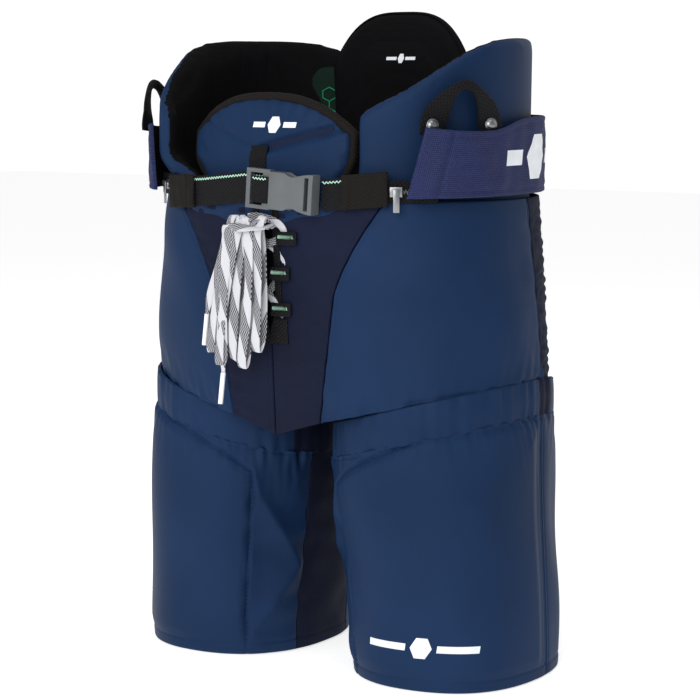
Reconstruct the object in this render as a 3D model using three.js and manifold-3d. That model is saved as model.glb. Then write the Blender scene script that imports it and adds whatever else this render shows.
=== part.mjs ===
// Ice hockey pants: a padded hip shell with two leg tubes that bend at a soft band below the hips.
// Hip pads, a back pad and a belly pad rise out of the waist. A buckled belt, a laced fly and a
// short zip at each hip close it. Millimetres, +Z up: the front faces -Y, the wearer's left is +X,
// and the hems stand on z = 0.
import * as THREE from 'three';
import { mergeVertices } from 'three/addons/utils/BufferGeometryUtils.js';
import Module from 'manifold-3d';

const wasm = await Module();
wasm.setup();

// ---- driving dimensions ----
const waist = { z: 394, halfWidth: 160, halfDepth: 121 };
const seat = { halfWidth: 178, halfDepth: 108 };
const outlineRoundness = 2.5;
const leg = { centreX: 108, halfWidth: 78, halfDepth: 88, roundness: 2.3 };
const legTop = { centreX: 94, halfWidth: 84, halfDepth: 98, roundness: 2.2 };
const seam = { innerX: 13, innerZ: 189, outerX: 178, outerZ: 231, gap: 26 };
const shellWall = 4;
const legWall = 3;
const seamClearance = 0.5;
const layerClearance = 1.2;
const padClearance = 2.4;

const fly = { halfGap: 7, bottomZ: 282, closeLength: 26 };
const tongue = { halfWidth: 34, wall: 3.5, topDrop: 26 };
const groinSeam = { topX: 104, midX: 63, lowX: 59, midZ: 315 };
const sideStrip = { start: 8, end: 27 };
const gusset = { halfWidth: 26, wall: 3.5, endRise: 12 };

const hipPad = {
  frontX: 80, end: 58, thickness: 11, bottomZ: 300, frontTopZ: 467, topZ: 524, riseEnd: 4,
  cornerDrop: 5, backDrop: 16, cellsU: 14, cellsV: 8,
};
const splay = { left: 3, right: 38, start: 18, low: 392, high: 428 };
const hipGuard = { wall: 2.5 };
const backPad = { halfWidth: 72, thickness: 18, bottomZ: 306, topZ: 546, shoulder: 44, lean: 8 };
const tailbone = { halfAngle: 17, wall: 5, bottomZ: 262, topZ: 372 };
const bellyPad = {
  x: -9, lowHalfWidth: 60, halfWidth: 79, thickness: 15, bottomZ: 372, sideTopZ: 446, topZ: 480,
  lean: 6, widenStart: 13, widenLength: 45,
};

const belt = { z: 401, width: 25, wall: 1.5, standOff: 3.2 };
const tunnel = { innerX: 72, outerX: 101, wall: 1.6, width: 29 };
const buckle = { x: 20.5, length: 67, bodyLength: 43, height: 32, depth: 11, sink: 3.2, tilt: 4 };
const buckleFrame = { depth: 6, webbingSlot: 4, slotInset: 6, guideHeight: 2.4, cavityInset: 12 };
const buckleMouth = { height: 21, depth: 6.4, clearance: 0.6 };
const buckleWindow = { start: 11.5, length: 13 };
const prong = { length: 26, width: 5, depth: 4.6, bulge: 2.4, rootGap: 0.4 };
const keeper = { x: -3, width: 17, wall: 1.6, topZ: 446, bottomZ: 376 };

const laceLoop = {
  width: 15, height: 11, wall: 2.6, rows: 3, topZ: 363, pitch: 29, innerX: 5, topStep: 8, standOff: 2.8,
};
const lace = { width: 9, wall: 2, standOff: 1.1, knotRise: 0.6, knotPoints: 4 };
const hank = { topZ: 381, length: 131, topWidth: 26, width: 54, depth: 12, x: -9, tilt: 7, standOff: 6.5 };
const aglet = { length: 26, radius: 2.1 };

const meshBand = {
  start: 37, end: 72, wall: 5.5, bottomZ: 397, topZ: 449, frontStandOff: 11.5, standOff: 0.8, closeBy: 45,
};
const hangingLoop = {
  angle: 22, outerWidth: 72, opening: 28, height: 30, crown: 8, wall: 2.6, baseZ: 458.5, lean: 14,
  standOff: 1.6, shiftPerSplay: 0.38, turnPerSplay: 0.35,
};
const rivet = { radius: 4, height: 2.4, spread: 54, backWall: 1.2, backHeight: 7, z: 453.6 };
const zip = { angle: 37, length: 40, tapeWidth: 18, tapeWall: 1.2, z: 402, standOff: 1.2 };
const slider = { length: 10, width: 8, height: 3.2, lift: 0.4 };
const bail = { length: 3, width: 2.4, height: 1.4, sunk: 0.5 };
const pull = { length: 15, width: 5, wall: 1.2, eyeLength: 3, gap: 0.5 };

const guardPad = { inner: -127, outer: -2, bottomZ: 16, topDrop: 34, wall: 2.5, foam: 9 };
const legPanels = { front: -155, side: 12, back: 148 };

// ---- materials ----
const finish = (color, roughness, metalness = 0) =>
  new THREE.MeshStandardMaterial({ color, roughness, metalness });
const navyNylon = finish('#1f3358', 0.62);
const stretchFabric = finish('#20243f', 0.8);
const bandMesh = finish('#2c3059', 0.75);
const blackLining = finish('#141416', 0.85);
const blackWebbing = finish('#16171a', 0.8);
const brownBinding = finish('#2a2224', 0.8);
const guardPlastic = finish('#d9dcde', 0.45);
const foam = finish('#c9ccd2', 0.95);
const greyPlastic = finish('#7d7f7f', 0.45);
const laceFabric = finish('#dfe0e6', 0.85);
const clearPlastic = finish('#e9eaee', 0.3);
const nickel = finish('#b9bcc0', 0.3, 1);

const pants = new THREE.Group();

// ---- helpers ----
const rad = THREE.MathUtils.degToRad;
const mix = THREE.MathUtils.lerp;
const clamp01 = (t) => THREE.MathUtils.clamp(t, 0, 1);
const smooth = (t) => clamp01(t) ** 2 * (3 - 2 * clamp01(t));

function add(name, geometry, material, parent = pants) {
  const mesh = new THREE.Mesh(geometry, material);
  mesh.name = name;
  parent.add(mesh);
  return mesh;
}

// Radius of a rounded box outline at an angle in degrees; 0 is +X and -90 the front.
function outlineRadius(angle, halfWidth, halfDepth, roundness) {
  const c = Math.abs(Math.cos(rad(angle))) / halfWidth;
  const s = Math.abs(Math.sin(rad(angle))) / halfDepth;
  return (c ** roundness + s ** roundness) ** (-1 / roundness);
}

// Half width and half depth of the hip shell at a height.
function shellHalves(z) {
  const t = clamp01((z - seam.innerZ) / (waist.z - seam.innerZ));
  return [mix(seat.halfWidth, waist.halfWidth, t ** 1.5), mix(seat.halfDepth, waist.halfDepth, t)];
}

// Point on the hip shell's outline, moved out by offset.
function onShell(angle, z, offset = 0) {
  const [halfWidth, halfDepth] = shellHalves(z);
  const r = outlineRadius(angle, halfWidth + offset, halfDepth + offset, outlineRoundness);
  return new THREE.Vector3(r * Math.cos(rad(angle)), r * Math.sin(rad(angle)), z);
}

// Point on a leg tube; side is 1 for the wearer's left, and angle 0 always faces outwards.
function onLeg(side, angle, z, offset = 0) {
  const t = smooth(z / seam.innerZ);
  const roundness = mix(leg.roundness, legTop.roundness, t);
  const halfWidth = mix(leg.halfWidth, legTop.halfWidth, t) + offset;
  const halfDepth = mix(leg.halfDepth, legTop.halfDepth, t) + offset;
  const r = outlineRadius(angle, halfWidth, halfDepth, roundness);
  const x = mix(leg.centreX, legTop.centreX, t) + r * Math.cos(rad(angle));
  return new THREE.Vector3(side * x, r * Math.sin(rad(angle)), z);
}

// The angle at which the front of the shell's outline, moved out by offset, reaches x.
function frontAngle(x, z, offset = 0) {
  const [halfWidth, halfDepth] = shellHalves(z);
  const across = Math.min(Math.abs(x) / (halfWidth + offset), 0.999);
  const y = (halfDepth + offset) * (1 - across ** outlineRoundness) ** (1 / outlineRoundness);
  return -THREE.MathUtils.radToDeg(Math.atan2(y, x));
}

// The bend seam climbs from the inner thigh to the outer one.
const seamZ = (x) =>
  mix(seam.innerZ, seam.outerZ, (Math.abs(x) - seam.innerX) / (seam.outerX - seam.innerX));

// A closed curved plate. place(u, v, depth) is a point of it, and depth runs in from the outer face.
function plate(place, thickness, nu, nv) {
  const points = [];
  for (const depth of [0, thickness]) {
    for (let j = 0; j <= nv; j++) {
      for (let i = 0; i <= nu; i++) points.push(place(i / nu, j / nv, depth));
    }
  }
  const layer = (nu + 1) * (nv + 1);
  const at = (i, j, inner) => i + j * (nu + 1) + (inner ? layer : 0);
  const quads = [];
  for (let j = 0; j < nv; j++) {
    for (let i = 0; i < nu; i++) {
      quads.push([at(i, j, 0), at(i + 1, j, 0), at(i + 1, j + 1, 0), at(i, j + 1, 0)]);
      quads.push([at(i, j, 1), at(i, j + 1, 1), at(i + 1, j + 1, 1), at(i + 1, j, 1)]);
    }
  }
  for (let i = 0; i < nu; i++) {
    quads.push([at(i, 0, 0), at(i, 0, 1), at(i + 1, 0, 1), at(i + 1, 0, 0)]);
    quads.push([at(i, nv, 0), at(i + 1, nv, 0), at(i + 1, nv, 1), at(i, nv, 1)]);
  }
  for (let j = 0; j < nv; j++) {
    quads.push([at(0, j, 0), at(0, j + 1, 0), at(0, j + 1, 1), at(0, j, 1)]);
    quads.push([at(nu, j, 0), at(nu, j, 1), at(nu, j + 1, 1), at(nu, j + 1, 0)]);
  }
  return solid(points, quads);
}

// A closed band all the way round. place(u, v, depth) repeats at u = 1.
function ring(place, thickness, nu, nv) {
  const points = [];
  for (const depth of [0, thickness]) {
    for (let j = 0; j <= nv; j++) {
      for (let i = 0; i < nu; i++) points.push(place(i / nu, j / nv, depth));
    }
  }
  const layer = nu * (nv + 1);
  const at = (i, j, inner) => (i % nu) + j * nu + (inner ? layer : 0);
  const quads = [];
  for (let i = 0; i < nu; i++) {
    for (let j = 0; j < nv; j++) {
      quads.push([at(i, j, 0), at(i + 1, j, 0), at(i + 1, j + 1, 0), at(i, j + 1, 0)]);
      quads.push([at(i, j, 1), at(i, j + 1, 1), at(i + 1, j + 1, 1), at(i + 1, j, 1)]);
    }
    quads.push([at(i, 0, 0), at(i, 0, 1), at(i + 1, 0, 1), at(i + 1, 0, 0)]);
    quads.push([at(i, nv, 0), at(i + 1, nv, 0), at(i + 1, nv, 1), at(i, nv, 1)]);
  }
  return solid(points, quads);
}

// A solid from points and quads, turned right side out.
function solid(points, quads) {
  const triangles = quads.flatMap(([a, b, c, d]) => [[a, b, c], [a, c, d]]);
  let volume = 0;
  for (const [a, b, c] of triangles) {
    volume += points[a].dot(new THREE.Vector3().crossVectors(points[b], points[c]));
  }
  const index = triangles.flatMap(([a, b, c]) => (volume > 0 ? [a, b, c] : [a, c, b]));
  const geometry = new THREE.BufferGeometry();
  const xyz = new Float32Array(points.flatMap((p) => [p.x, p.y, p.z]));
  geometry.setAttribute('position', new THREE.BufferAttribute(xyz, 3));
  geometry.setIndex(index);
  return geometry;
}

function toManifold(geometry) {
  const bare = geometry.clone();
  bare.deleteAttribute('normal');
  bare.deleteAttribute('uv');
  const merged = mergeVertices(bare, 1e-4);
  return new wasm.Manifold(new wasm.Mesh({
    numProp: 3,
    vertProperties: new Float32Array(merged.attributes.position.array),
    triVerts: new Uint32Array(merged.index.array),
  }));
}

function fromManifold(body) {
  const mesh = body.getMesh();
  const geometry = new THREE.BufferGeometry();
  geometry.setAttribute('position', new THREE.BufferAttribute(new Float32Array(mesh.vertProperties), 3));
  geometry.setIndex(Array.from(mesh.triVerts));
  return geometry;
}

function box(sizeX, sizeY, sizeZ, x = 0, y = 0, z = 0) {
  const geometry = new THREE.BoxGeometry(sizeX, sizeY, sizeZ);
  geometry.translate(x, y, z);
  return geometry;
}

// A flat shape drawn across and upwards, standing upright with its face on y = 0 and its back at -depth.
function slab(shape, depth, curveSegments) {
  const geometry = new THREE.ExtrudeGeometry(shape, { depth, bevelEnabled: false, curveSegments });
  geometry.rotateX(Math.PI / 2);
  return geometry;
}

// Angle of the mirrored copy on the wearer's right.
const mirrored = (side, angle) => (side > 0 ? angle : 180 - angle);
const sides = [['left', 1], ['right', -1]];

// ---- hip shell ----
// A shell panel between two edge angles, from the bend seam, or its own bottom, up to the waist.
function shellPanel(side, edgeA, edgeB, { offset = 0, wall = shellWall, low, high, nu = 8, nv = 8 } = {}) {
  const lowAt = low ?? ((x) => seamZ(x) + seam.gap / 2);
  const highAt = high ?? (() => waist.z);
  const middle = (seam.outerZ + waist.z) / 2;
  return plate((u, v, depth) => {
    const guess = mix(edgeA(middle), edgeB(middle), u);
    const bottom = lowAt(onShell(guess, seam.outerZ).x);
    const z = mix(bottom, highAt(guess), v);
    const angle = mix(edgeA(z), edgeB(z), u);
    return onShell(mirrored(side, angle), z, offset - depth);
  }, wall, nu, nv);
}

const seamAngle = 0.13;
// Front seam between the stretch groin panel and the thigh panel: a curved V.
function groinSeamX(z) {
  if (z > groinSeam.midZ) {
    const t = (z - groinSeam.midZ) / (waist.z - groinSeam.midZ);
    return mix(groinSeam.midX, groinSeam.topX, t ** 1.3);
  }
  return mix(groinSeam.lowX, groinSeam.midX, (z - seam.innerZ) / (groinSeam.midZ - seam.innerZ));
}
const flyEdgeX = (z) => mix(seamClearance, fly.halfGap, smooth((z - fly.bottomZ) / fly.closeLength));
const groinEdge = (z) => frontAngle(groinSeamX(z), z);

for (const [name, side] of sides) {
  add(`${name}_groin_panel`, shellPanel(side, (z) => frontAngle(flyEdgeX(z), z),
    (z) => groinEdge(z) - seamAngle, { nu: 6, nv: 8 }), stretchFabric);
  add(`${name}_thigh_panel_upper`, shellPanel(side, (z) => groinEdge(z) + seamAngle,
    () => sideStrip.start - seamAngle, { nu: 8, nv: 8 }), navyNylon);
  add(`${name}_side_strip`, shellPanel(side, () => sideStrip.start + seamAngle,
    () => sideStrip.end - seamAngle, { nu: 3, nv: 6 }), stretchFabric);
  add(`${name}_seat_panel`, shellPanel(side, () => sideStrip.end + seamAngle,
    () => 90 - seamAngle, { nu: 8, nv: 6 }), navyNylon);
}

function gussetPlace(u, v, depth) {
  const x = mix(-gusset.halfWidth, gusset.halfWidth, u);
  const reach = seat.halfDepth - shellWall - layerClearance - 1;
  const base = seamZ(gusset.halfWidth) + seam.gap / 2 + layerClearance;
  const rise = gusset.endRise * (2 * v - 1) ** 2;
  return new THREE.Vector3(x, mix(-reach, reach, v), base + rise + gusset.wall - depth);
}
add('crotch_gusset', plate(gussetPlace, gusset.wall, 2, 8), stretchFabric);

const tongueOffset = -shellWall - layerClearance;
add('fly_tongue', shellPanel(1, (z) => frontAngle(-tongue.halfWidth, z),
  (z) => frontAngle(tongue.halfWidth, z), {
    offset: tongueOffset, wall: tongue.wall, nu: 6, nv: 3,
    low: () => fly.bottomZ, high: () => waist.z - tongue.topDrop,
  }), blackLining);

// ---- pads inside the shell ----
const padOffset = -shellWall - padClearance;

// Top of a hip pad: low at its front corner, climbing to a level side and back.
const hipPadStart = -frontAngle(hipPad.frontX, waist.z);
function hipPadTop(angle) {
  const t = (angle + hipPadStart) / (hipPadStart - hipPad.riseEnd);
  const rise = mix(clamp01(t), smooth(t), 0.6);
  const corner = Math.max(0, (Math.abs(angle) - hipPad.end + 12) / 12);
  const drop = angle > 0 ? hipPad.backDrop : hipPad.cornerDrop;
  return mix(hipPad.frontTopZ, hipPad.topZ, rise) - drop * corner ** 2;
}

// A layer of the hip padding. Above the waist its front edge stands away from the body by splay.
// All layers share one grid, and inset drops that many of its cells along every edge.
function hipLayer(side, name, { offset, wall, inset = 0 }) {
  const { cellsU, cellsV } = hipPad;
  return plate((u, v, depth) => {
    const across = mix(inset, cellsU - inset, u) / cellsU;
    const up = mix(inset, cellsV - inset, v) / cellsV;
    const angle = mix(-hipPadStart, hipPad.end, across);
    const z = mix(hipPad.bottomZ, hipPadTop(angle), up);
    const p = onShell(mirrored(side, angle), z, offset - depth);
    const away = smooth((-angle - splay.start) / (hipPadStart - splay.start));
    p.x += side * splay[name] * away * smooth((z - splay.low) / (splay.high - splay.low));
    return p;
  }, wall, cellsU - 2 * inset, cellsV - 2 * inset);
}
for (const [name, side] of sides) {
  add(`${name}_hip_pad`, hipLayer(side, name, { offset: padOffset, wall: hipPad.thickness }), navyNylon);
  const guardOffset = padOffset - hipPad.thickness - padClearance / 2;
  const guardLayer = { offset: guardOffset, wall: hipGuard.wall, inset: 1 };
  add(`${name}_hip_guard`, hipLayer(side, name, guardLayer), guardPlastic);
}

// The back and belly pads lie inside the hip pads, so their edges tuck behind them.
const innerOffset = padOffset - hipPad.thickness - hipGuard.wall - 1.5 * padClearance;
const arch = (u, power) => 1 - Math.abs(2 * u - 1) ** power;
add('back_pad', plate((u, v, depth) => {
  const z = mix(backPad.bottomZ, backPad.topZ - backPad.shoulder * (1 - arch(u, 3.2)), v);
  const x = mix(-backPad.halfWidth, backPad.halfWidth, u);
  const p = onShell(-frontAngle(x, z, innerOffset), z, innerOffset - depth);
  const leaned = backPad.lean * smooth((z - waist.z) / (backPad.topZ - waist.z));
  return new THREE.Vector3(p.x, p.y - leaned, p.z);
}, backPad.thickness, 10, 6), blackLining);

add('tailbone_guard', plate((u, v, depth) => {
  const z = mix(tailbone.bottomZ, tailbone.topZ, v);
  return onShell(mix(90 - tailbone.halfAngle, 90 + tailbone.halfAngle, u), z, padOffset - depth);
}, tailbone.wall, 6, 4), foam);

const bellyOffset = padOffset - tongue.wall - layerClearance;
const bellyLean = (z) => bellyPad.lean * smooth((z - waist.z) / (bellyPad.topZ - waist.z));
add('belly_pad', plate((u, v, depth) => {
  const z = mix(bellyPad.bottomZ, mix(bellyPad.sideTopZ, bellyPad.topZ, arch(u, 2.2)), v);
  const wide = smooth((z - bellyPad.bottomZ - bellyPad.widenStart) / bellyPad.widenLength);
  const half = mix(bellyPad.lowHalfWidth, bellyPad.halfWidth, wide);
  const angle = frontAngle(bellyPad.x + mix(-half, half, u), z, bellyOffset);
  const p = onShell(angle, z, bellyOffset - depth);
  return new THREE.Vector3(p.x, p.y + bellyLean(z), p.z);
}, bellyPad.thickness, 12, 6), navyNylon);

add('keeper_strap', plate((u, v, depth) => {
  const z = mix(keeper.bottomZ, keeper.topZ, v);
  const x = keeper.x + mix(-keeper.width / 2, keeper.width / 2, u);
  const p = onShell(frontAngle(x, z), z, 0);
  const front = p.y - bellyOffset + bellyLean(z) - layerClearance - keeper.wall;
  return new THREE.Vector3(p.x, front + depth, z);
}, keeper.wall, 1, 6), blackWebbing);

// ---- belt and buckle ----
function beltRun(fromX, toX, { offset = belt.standOff, wall = belt.wall, width = belt.width, nu = 8 } = {}) {
  return plate((u, v, depth) => {
    const x = mix(fromX, toX, u);
    const z = belt.z + mix(-width / 2, width / 2, v);
    return onShell(frontAngle(x, belt.z), z, offset + wall - depth);
  }, wall, nu, 2);
}
const buckleLeftX = buckle.x - buckle.length / 2;
const buckleRightX = buckle.x + buckle.length / 2;
const beltEnd = tunnel.outerX - 8;
add('belt_webbing_left', beltRun(buckleRightX + 1, beltEnd), blackWebbing);
add('belt_webbing_right', beltRun(-beltEnd, buckleLeftX - 1), blackWebbing);
for (const [name, side] of sides) {
  const offset = belt.standOff + belt.wall + layerClearance;
  add(`${name}_belt_tunnel`, beltRun(side * tunnel.innerX, side * tunnel.outerX,
    { offset, wall: tunnel.wall, width: tunnel.width, nu: 5 }), brownBinding);
}

const buckleGroup = new THREE.Group();
const buckleFace = waist.halfDepth + belt.standOff + buckle.depth - buckle.sink;
buckleGroup.position.set(buckle.x, buckle.depth / 2 - buckleFace, belt.z);
buckleGroup.rotation.y = rad(buckle.tilt);
pants.add(buckleGroup);

// In the buckle's own frame X runs along the belt, and the male half comes in from -X.
const bodyX = buckle.length / 2 - buckle.bodyLength / 2;
const mouthX = bodyX - buckle.bodyLength / 2;
const cavityEnd = bodyX + buckle.bodyLength / 2 - buckleFrame.cavityInset;
function femaleBody() {
  const shape = new THREE.Shape();
  const halfX = buckle.bodyLength / 2;
  const halfZ = buckle.height / 2;
  const waistDip = 5.5;
  shape.moveTo(-halfX, -halfZ + 1);
  shape.lineTo(-halfX * 0.3, -halfZ + 1);
  shape.quadraticCurveTo(halfX * 0.02, -halfZ + waistDip, halfX * 0.35, -halfZ + 2);
  shape.quadraticCurveTo(halfX * 0.7, -halfZ, halfX, -halfZ);
  shape.lineTo(halfX, halfZ);
  shape.quadraticCurveTo(halfX * 0.7, halfZ, halfX * 0.35, halfZ - 2);
  shape.quadraticCurveTo(halfX * 0.02, halfZ - waistDip, -halfX * 0.3, halfZ - 1);
  shape.lineTo(-halfX, halfZ - 1);
  shape.closePath();
  const block = slab(shape, buckle.depth, 4);
  block.translate(bodyX, buckle.depth / 2, 0);
  const cavityLength = cavityEnd - mouthX + 2;
  const hollow = box(cavityLength, buckleMouth.depth, buckleMouth.height, cavityEnd - cavityLength / 2);
  const windowX = mouthX + buckleWindow.start + buckleWindow.length / 2;
  const sideWindow = box(buckleWindow.length, buckleMouth.depth, buckle.height + 4, windowX);
  const slotX = bodyX + buckle.bodyLength / 2 - buckleFrame.slotInset;
  const webbingSlot = box(buckleFrame.webbingSlot, buckle.depth + 2, belt.width + 1, slotX);
  return fromManifold(toManifold(block).subtract(toManifold(hollow))
    .subtract(toManifold(sideWindow)).subtract(toManifold(webbingSlot)));
}
add('buckle_female', femaleBody(), greyPlastic, buckleGroup);

const maleStart = -buckle.length / 2;
const maleEnd = mouthX - buckleMouth.clearance;
function maleBody() {
  const frameLength = maleEnd - maleStart;
  const frame = box(frameLength, buckleFrame.depth, buckle.height, maleStart + frameLength / 2);
  const slotDepth = buckleFrame.depth + 2;
  const slot = box(frameLength - 11, slotDepth, belt.width + 1, maleStart + frameLength / 2 - 1.5);
  const guideEnd = cavityEnd - 3;
  const guideDepth = buckleMouth.depth - 2 * buckleMouth.clearance;
  const guideHeight = buckleFrame.guideHeight;
  const guide = box(guideEnd - mouthX + 4, guideDepth, guideHeight, (guideEnd + mouthX - 4) / 2);
  return fromManifold(toManifold(frame).subtract(toManifold(slot)).add(toManifold(guide)));
}
add('buckle_male', maleBody(), greyPlastic, buckleGroup);

// A spring arm of the male half: it runs in through the mouth, and its head bulges into the window.
function prongBody() {
  const outer = buckleMouth.height / 2 - buckleMouth.clearance;
  const inner = outer - prong.width;
  const start = maleEnd + prong.rootGap;
  const shoulder = mouthX + buckleWindow.start + 1.1;
  const end = start + prong.length;
  const shape = new THREE.Shape();
  shape.moveTo(start, inner);
  shape.lineTo(start, outer);
  shape.lineTo(shoulder, outer);
  shape.lineTo(shoulder, outer + prong.bulge);
  shape.lineTo(shoulder + 6, outer + prong.bulge - 0.3);
  shape.lineTo(shoulder + 10.5, outer - 0.3);
  shape.lineTo(end, outer - 1.4);
  shape.lineTo(end - 0.5, inner);
  shape.closePath();
  const geometry = new THREE.ExtrudeGeometry(shape, { depth: prong.depth, bevelEnabled: false });
  geometry.translate(0, 0, -prong.depth / 2);
  return geometry;
}
for (const [name, turn] of [['upper', Math.PI / 2], ['lower', -Math.PI / 2]]) {
  const arm = add(`buckle_prong_${name}`, prongBody(), greyPlastic, buckleGroup);
  arm.rotation.x = turn;
}

// ---- laced fly ----
for (const [name, side] of sides) {
  for (let row = 0; row < laceLoop.rows; row++) {
    const z0 = laceLoop.topZ - row * laceLoop.pitch;
    const start = laceLoop.innerX + (row === 0 ? laceLoop.topStep : 0);
    add(`${name}_lace_loop_${row + 1}`, plate((u, v, depth) => {
      const z = z0 + mix(-laceLoop.height / 2, laceLoop.height / 2, v);
      const angle = frontAngle(side * mix(start, start + laceLoop.width, u), z);
      return onShell(angle, z, laceLoop.standOff + laceLoop.wall - depth);
    }, laceLoop.wall, 2, 1), blackWebbing);
  }
}

// The lace's own route: behind the loops in a criss-cross, then up to the knot over the hank.
const laceRoute = [
  [15, 300], [9, 306], [4, 313], [-5, 324], [-13, 334], [-17, 341], [-12, 349], [0, 357],
  [13, 362], [18, 367], [15, 373], [8, 377], [0, 379], [-8, 380], [-15, 379],
];
function lacePoint([x, z], index) {
  const p = onShell(frontAngle(x, z), z, lace.standOff);
  const rise = Math.max(0, index - laceRoute.length + 1 + lace.knotPoints) * lace.knotRise;
  return new THREE.Vector3(p.x, p.y - rise, z);
}
const laceCurve = new THREE.CatmullRomCurve3(laceRoute.map(lacePoint), false, 'centripetal');
const laceSection = new THREE.Shape();
for (let i = 0; i < 8; i++) {
  const a = (i / 8) * 2 * Math.PI;
  const x = (lace.wall / 2) * Math.cos(a);
  const y = (lace.width / 4) * Math.sin(a);
  if (i === 0) laceSection.moveTo(x, y);
  else laceSection.lineTo(x, y);
}
laceSection.closePath();
add('lace_lacing', new THREE.ExtrudeGeometry(laceSection, {
  steps: 40, extrudePath: laceCurve, bevelEnabled: false,
}), laceFabric);

// The spare lace hangs from the knot as a hank: a flat bundle with round ends.
const hankY = onShell(-90, hank.topZ, hank.standOff).y;
function hankBody() {
  const shape = new THREE.Shape();
  const halfTop = hank.topWidth / 2;
  const half = hank.width / 2;
  const bottom = -hank.length;
  shape.moveTo(-halfTop, -halfTop);
  shape.absarc(0, -halfTop, halfTop, Math.PI, 0, true);
  shape.quadraticCurveTo(half * 0.95, -hank.length * 0.25, half, -hank.length * 0.45);
  shape.lineTo(half, bottom + half * 0.6);
  shape.quadraticCurveTo(half * 0.95, bottom, half * 0.3, bottom);
  shape.lineTo(-half * 0.3, bottom);
  shape.quadraticCurveTo(-half * 0.95, bottom, -half, bottom + half * 0.6);
  shape.lineTo(-half, -hank.length * 0.45);
  shape.quadraticCurveTo(-half * 0.95, -hank.length * 0.25, -halfTop, -halfTop);
  return slab(shape, hank.depth, 4);
}
const hankGroup = new THREE.Group();
hankGroup.position.set(hank.x, hankY, hank.topZ);
hankGroup.rotation.y = rad(hank.tilt);
pants.add(hankGroup);
add('lace_hank', hankBody(), laceFabric, hankGroup);
const agletPlaces = [
  ['front', -10, -hank.length - 0.4],
  ['rear', -hank.width / 2 - 5, -hank.length * 0.66],
];
for (const [name, x, top] of agletPlaces) {
  const tip = new THREE.CylinderGeometry(aglet.radius, aglet.radius, aglet.length, 10);
  tip.rotateX(Math.PI / 2);
  tip.translate(x, -hank.depth / 2, top - aglet.length / 2);
  add(`lace_aglet_${name}`, tip, clearPlastic, hankGroup);
}

// ---- hip bands, hanging loops and zips ----
// The band stands off at its folded front end and lies close round the side and back.
for (const [name, side] of sides) {
  add(`${name}_mesh_band`, plate((u, v, depth) => {
    const angle = mix(-meshBand.start, meshBand.end, u);
    const closing = smooth((angle + meshBand.start) / meshBand.closeBy);
    const away = mix(meshBand.frontStandOff, meshBand.standOff, closing);
    const z = mix(meshBand.bottomZ, meshBand.topZ, v);
    return onShell(mirrored(side, angle), z, away + meshBand.wall - depth);
  }, meshBand.wall, 14, 3), bandMesh);
}

// A frame that touches the outline: X runs forwards along it on the wearer's left and backwards on
// the right, Y points outwards and Z up.
function hipFrame(side, angle, offset, z) {
  const p = onShell(mirrored(side, -angle), z, offset);
  const [halfWidth, halfDepth] = shellHalves(z);
  const power = outlineRoundness - 1;
  const normalX = Math.sign(p.x) * (Math.abs(p.x) / halfWidth) ** power / halfWidth;
  const normalY = Math.sign(p.y) * (Math.abs(p.y) / halfDepth) ** power / halfDepth;
  const group = new THREE.Group();
  group.position.copy(p);
  group.rotation.z = Math.atan2(-normalX, normalY);
  pants.add(group);
  return group;
}

function loopStrap() {
  const half = hangingLoop.outerWidth / 2;
  const inner = hangingLoop.opening / 2;
  const innerTop = hangingLoop.height - hangingLoop.crown;
  const shape = new THREE.Shape();
  shape.moveTo(-half, 0);
  const top = hangingLoop.height;
  shape.bezierCurveTo(-half, top * 0.7, -half * 0.6, top, 0, top);
  shape.bezierCurveTo(half * 0.6, top, half, top * 0.7, half, 0);
  shape.lineTo(inner, 0);
  shape.bezierCurveTo(inner, innerTop * 0.7, inner * 0.7, innerTop, 0, innerTop);
  shape.bezierCurveTo(-inner * 0.7, innerTop, -inner, innerTop * 0.7, -inner, 0);
  shape.closePath();
  const geometry = slab(shape, hangingLoop.wall, 5);
  geometry.translate(0, hangingLoop.wall / 2, 0);
  return geometry;
}

function rivetPair() {
  let body = toManifold(box(rivet.spread, rivet.backWall, rivet.backHeight));
  for (const x of [-rivet.spread / 2, rivet.spread / 2]) {
    const head = new THREE.CylinderGeometry(rivet.radius * 0.6, rivet.radius, rivet.height, 14);
    head.translate(x, rivet.backWall / 2 + rivet.height / 2 - 0.2, 0);
    body = body.add(toManifold(head));
  }
  return fromManifold(body);
}

function zipSlider() {
  const plateBody = box(slider.length, slider.height, slider.width, 0, slider.height / 2);
  const bailBody = box(bail.length, bail.height + bail.sunk, bail.width,
    0, slider.height + (bail.height - bail.sunk) / 2);
  return fromManifold(toManifold(plateBody).add(toManifold(bailBody)));
}

function zipPull() {
  const length = pull.length + pull.eyeLength;
  return box(pull.width, pull.wall, length, 0, 0, pull.eyeLength - length / 2);
}

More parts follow.
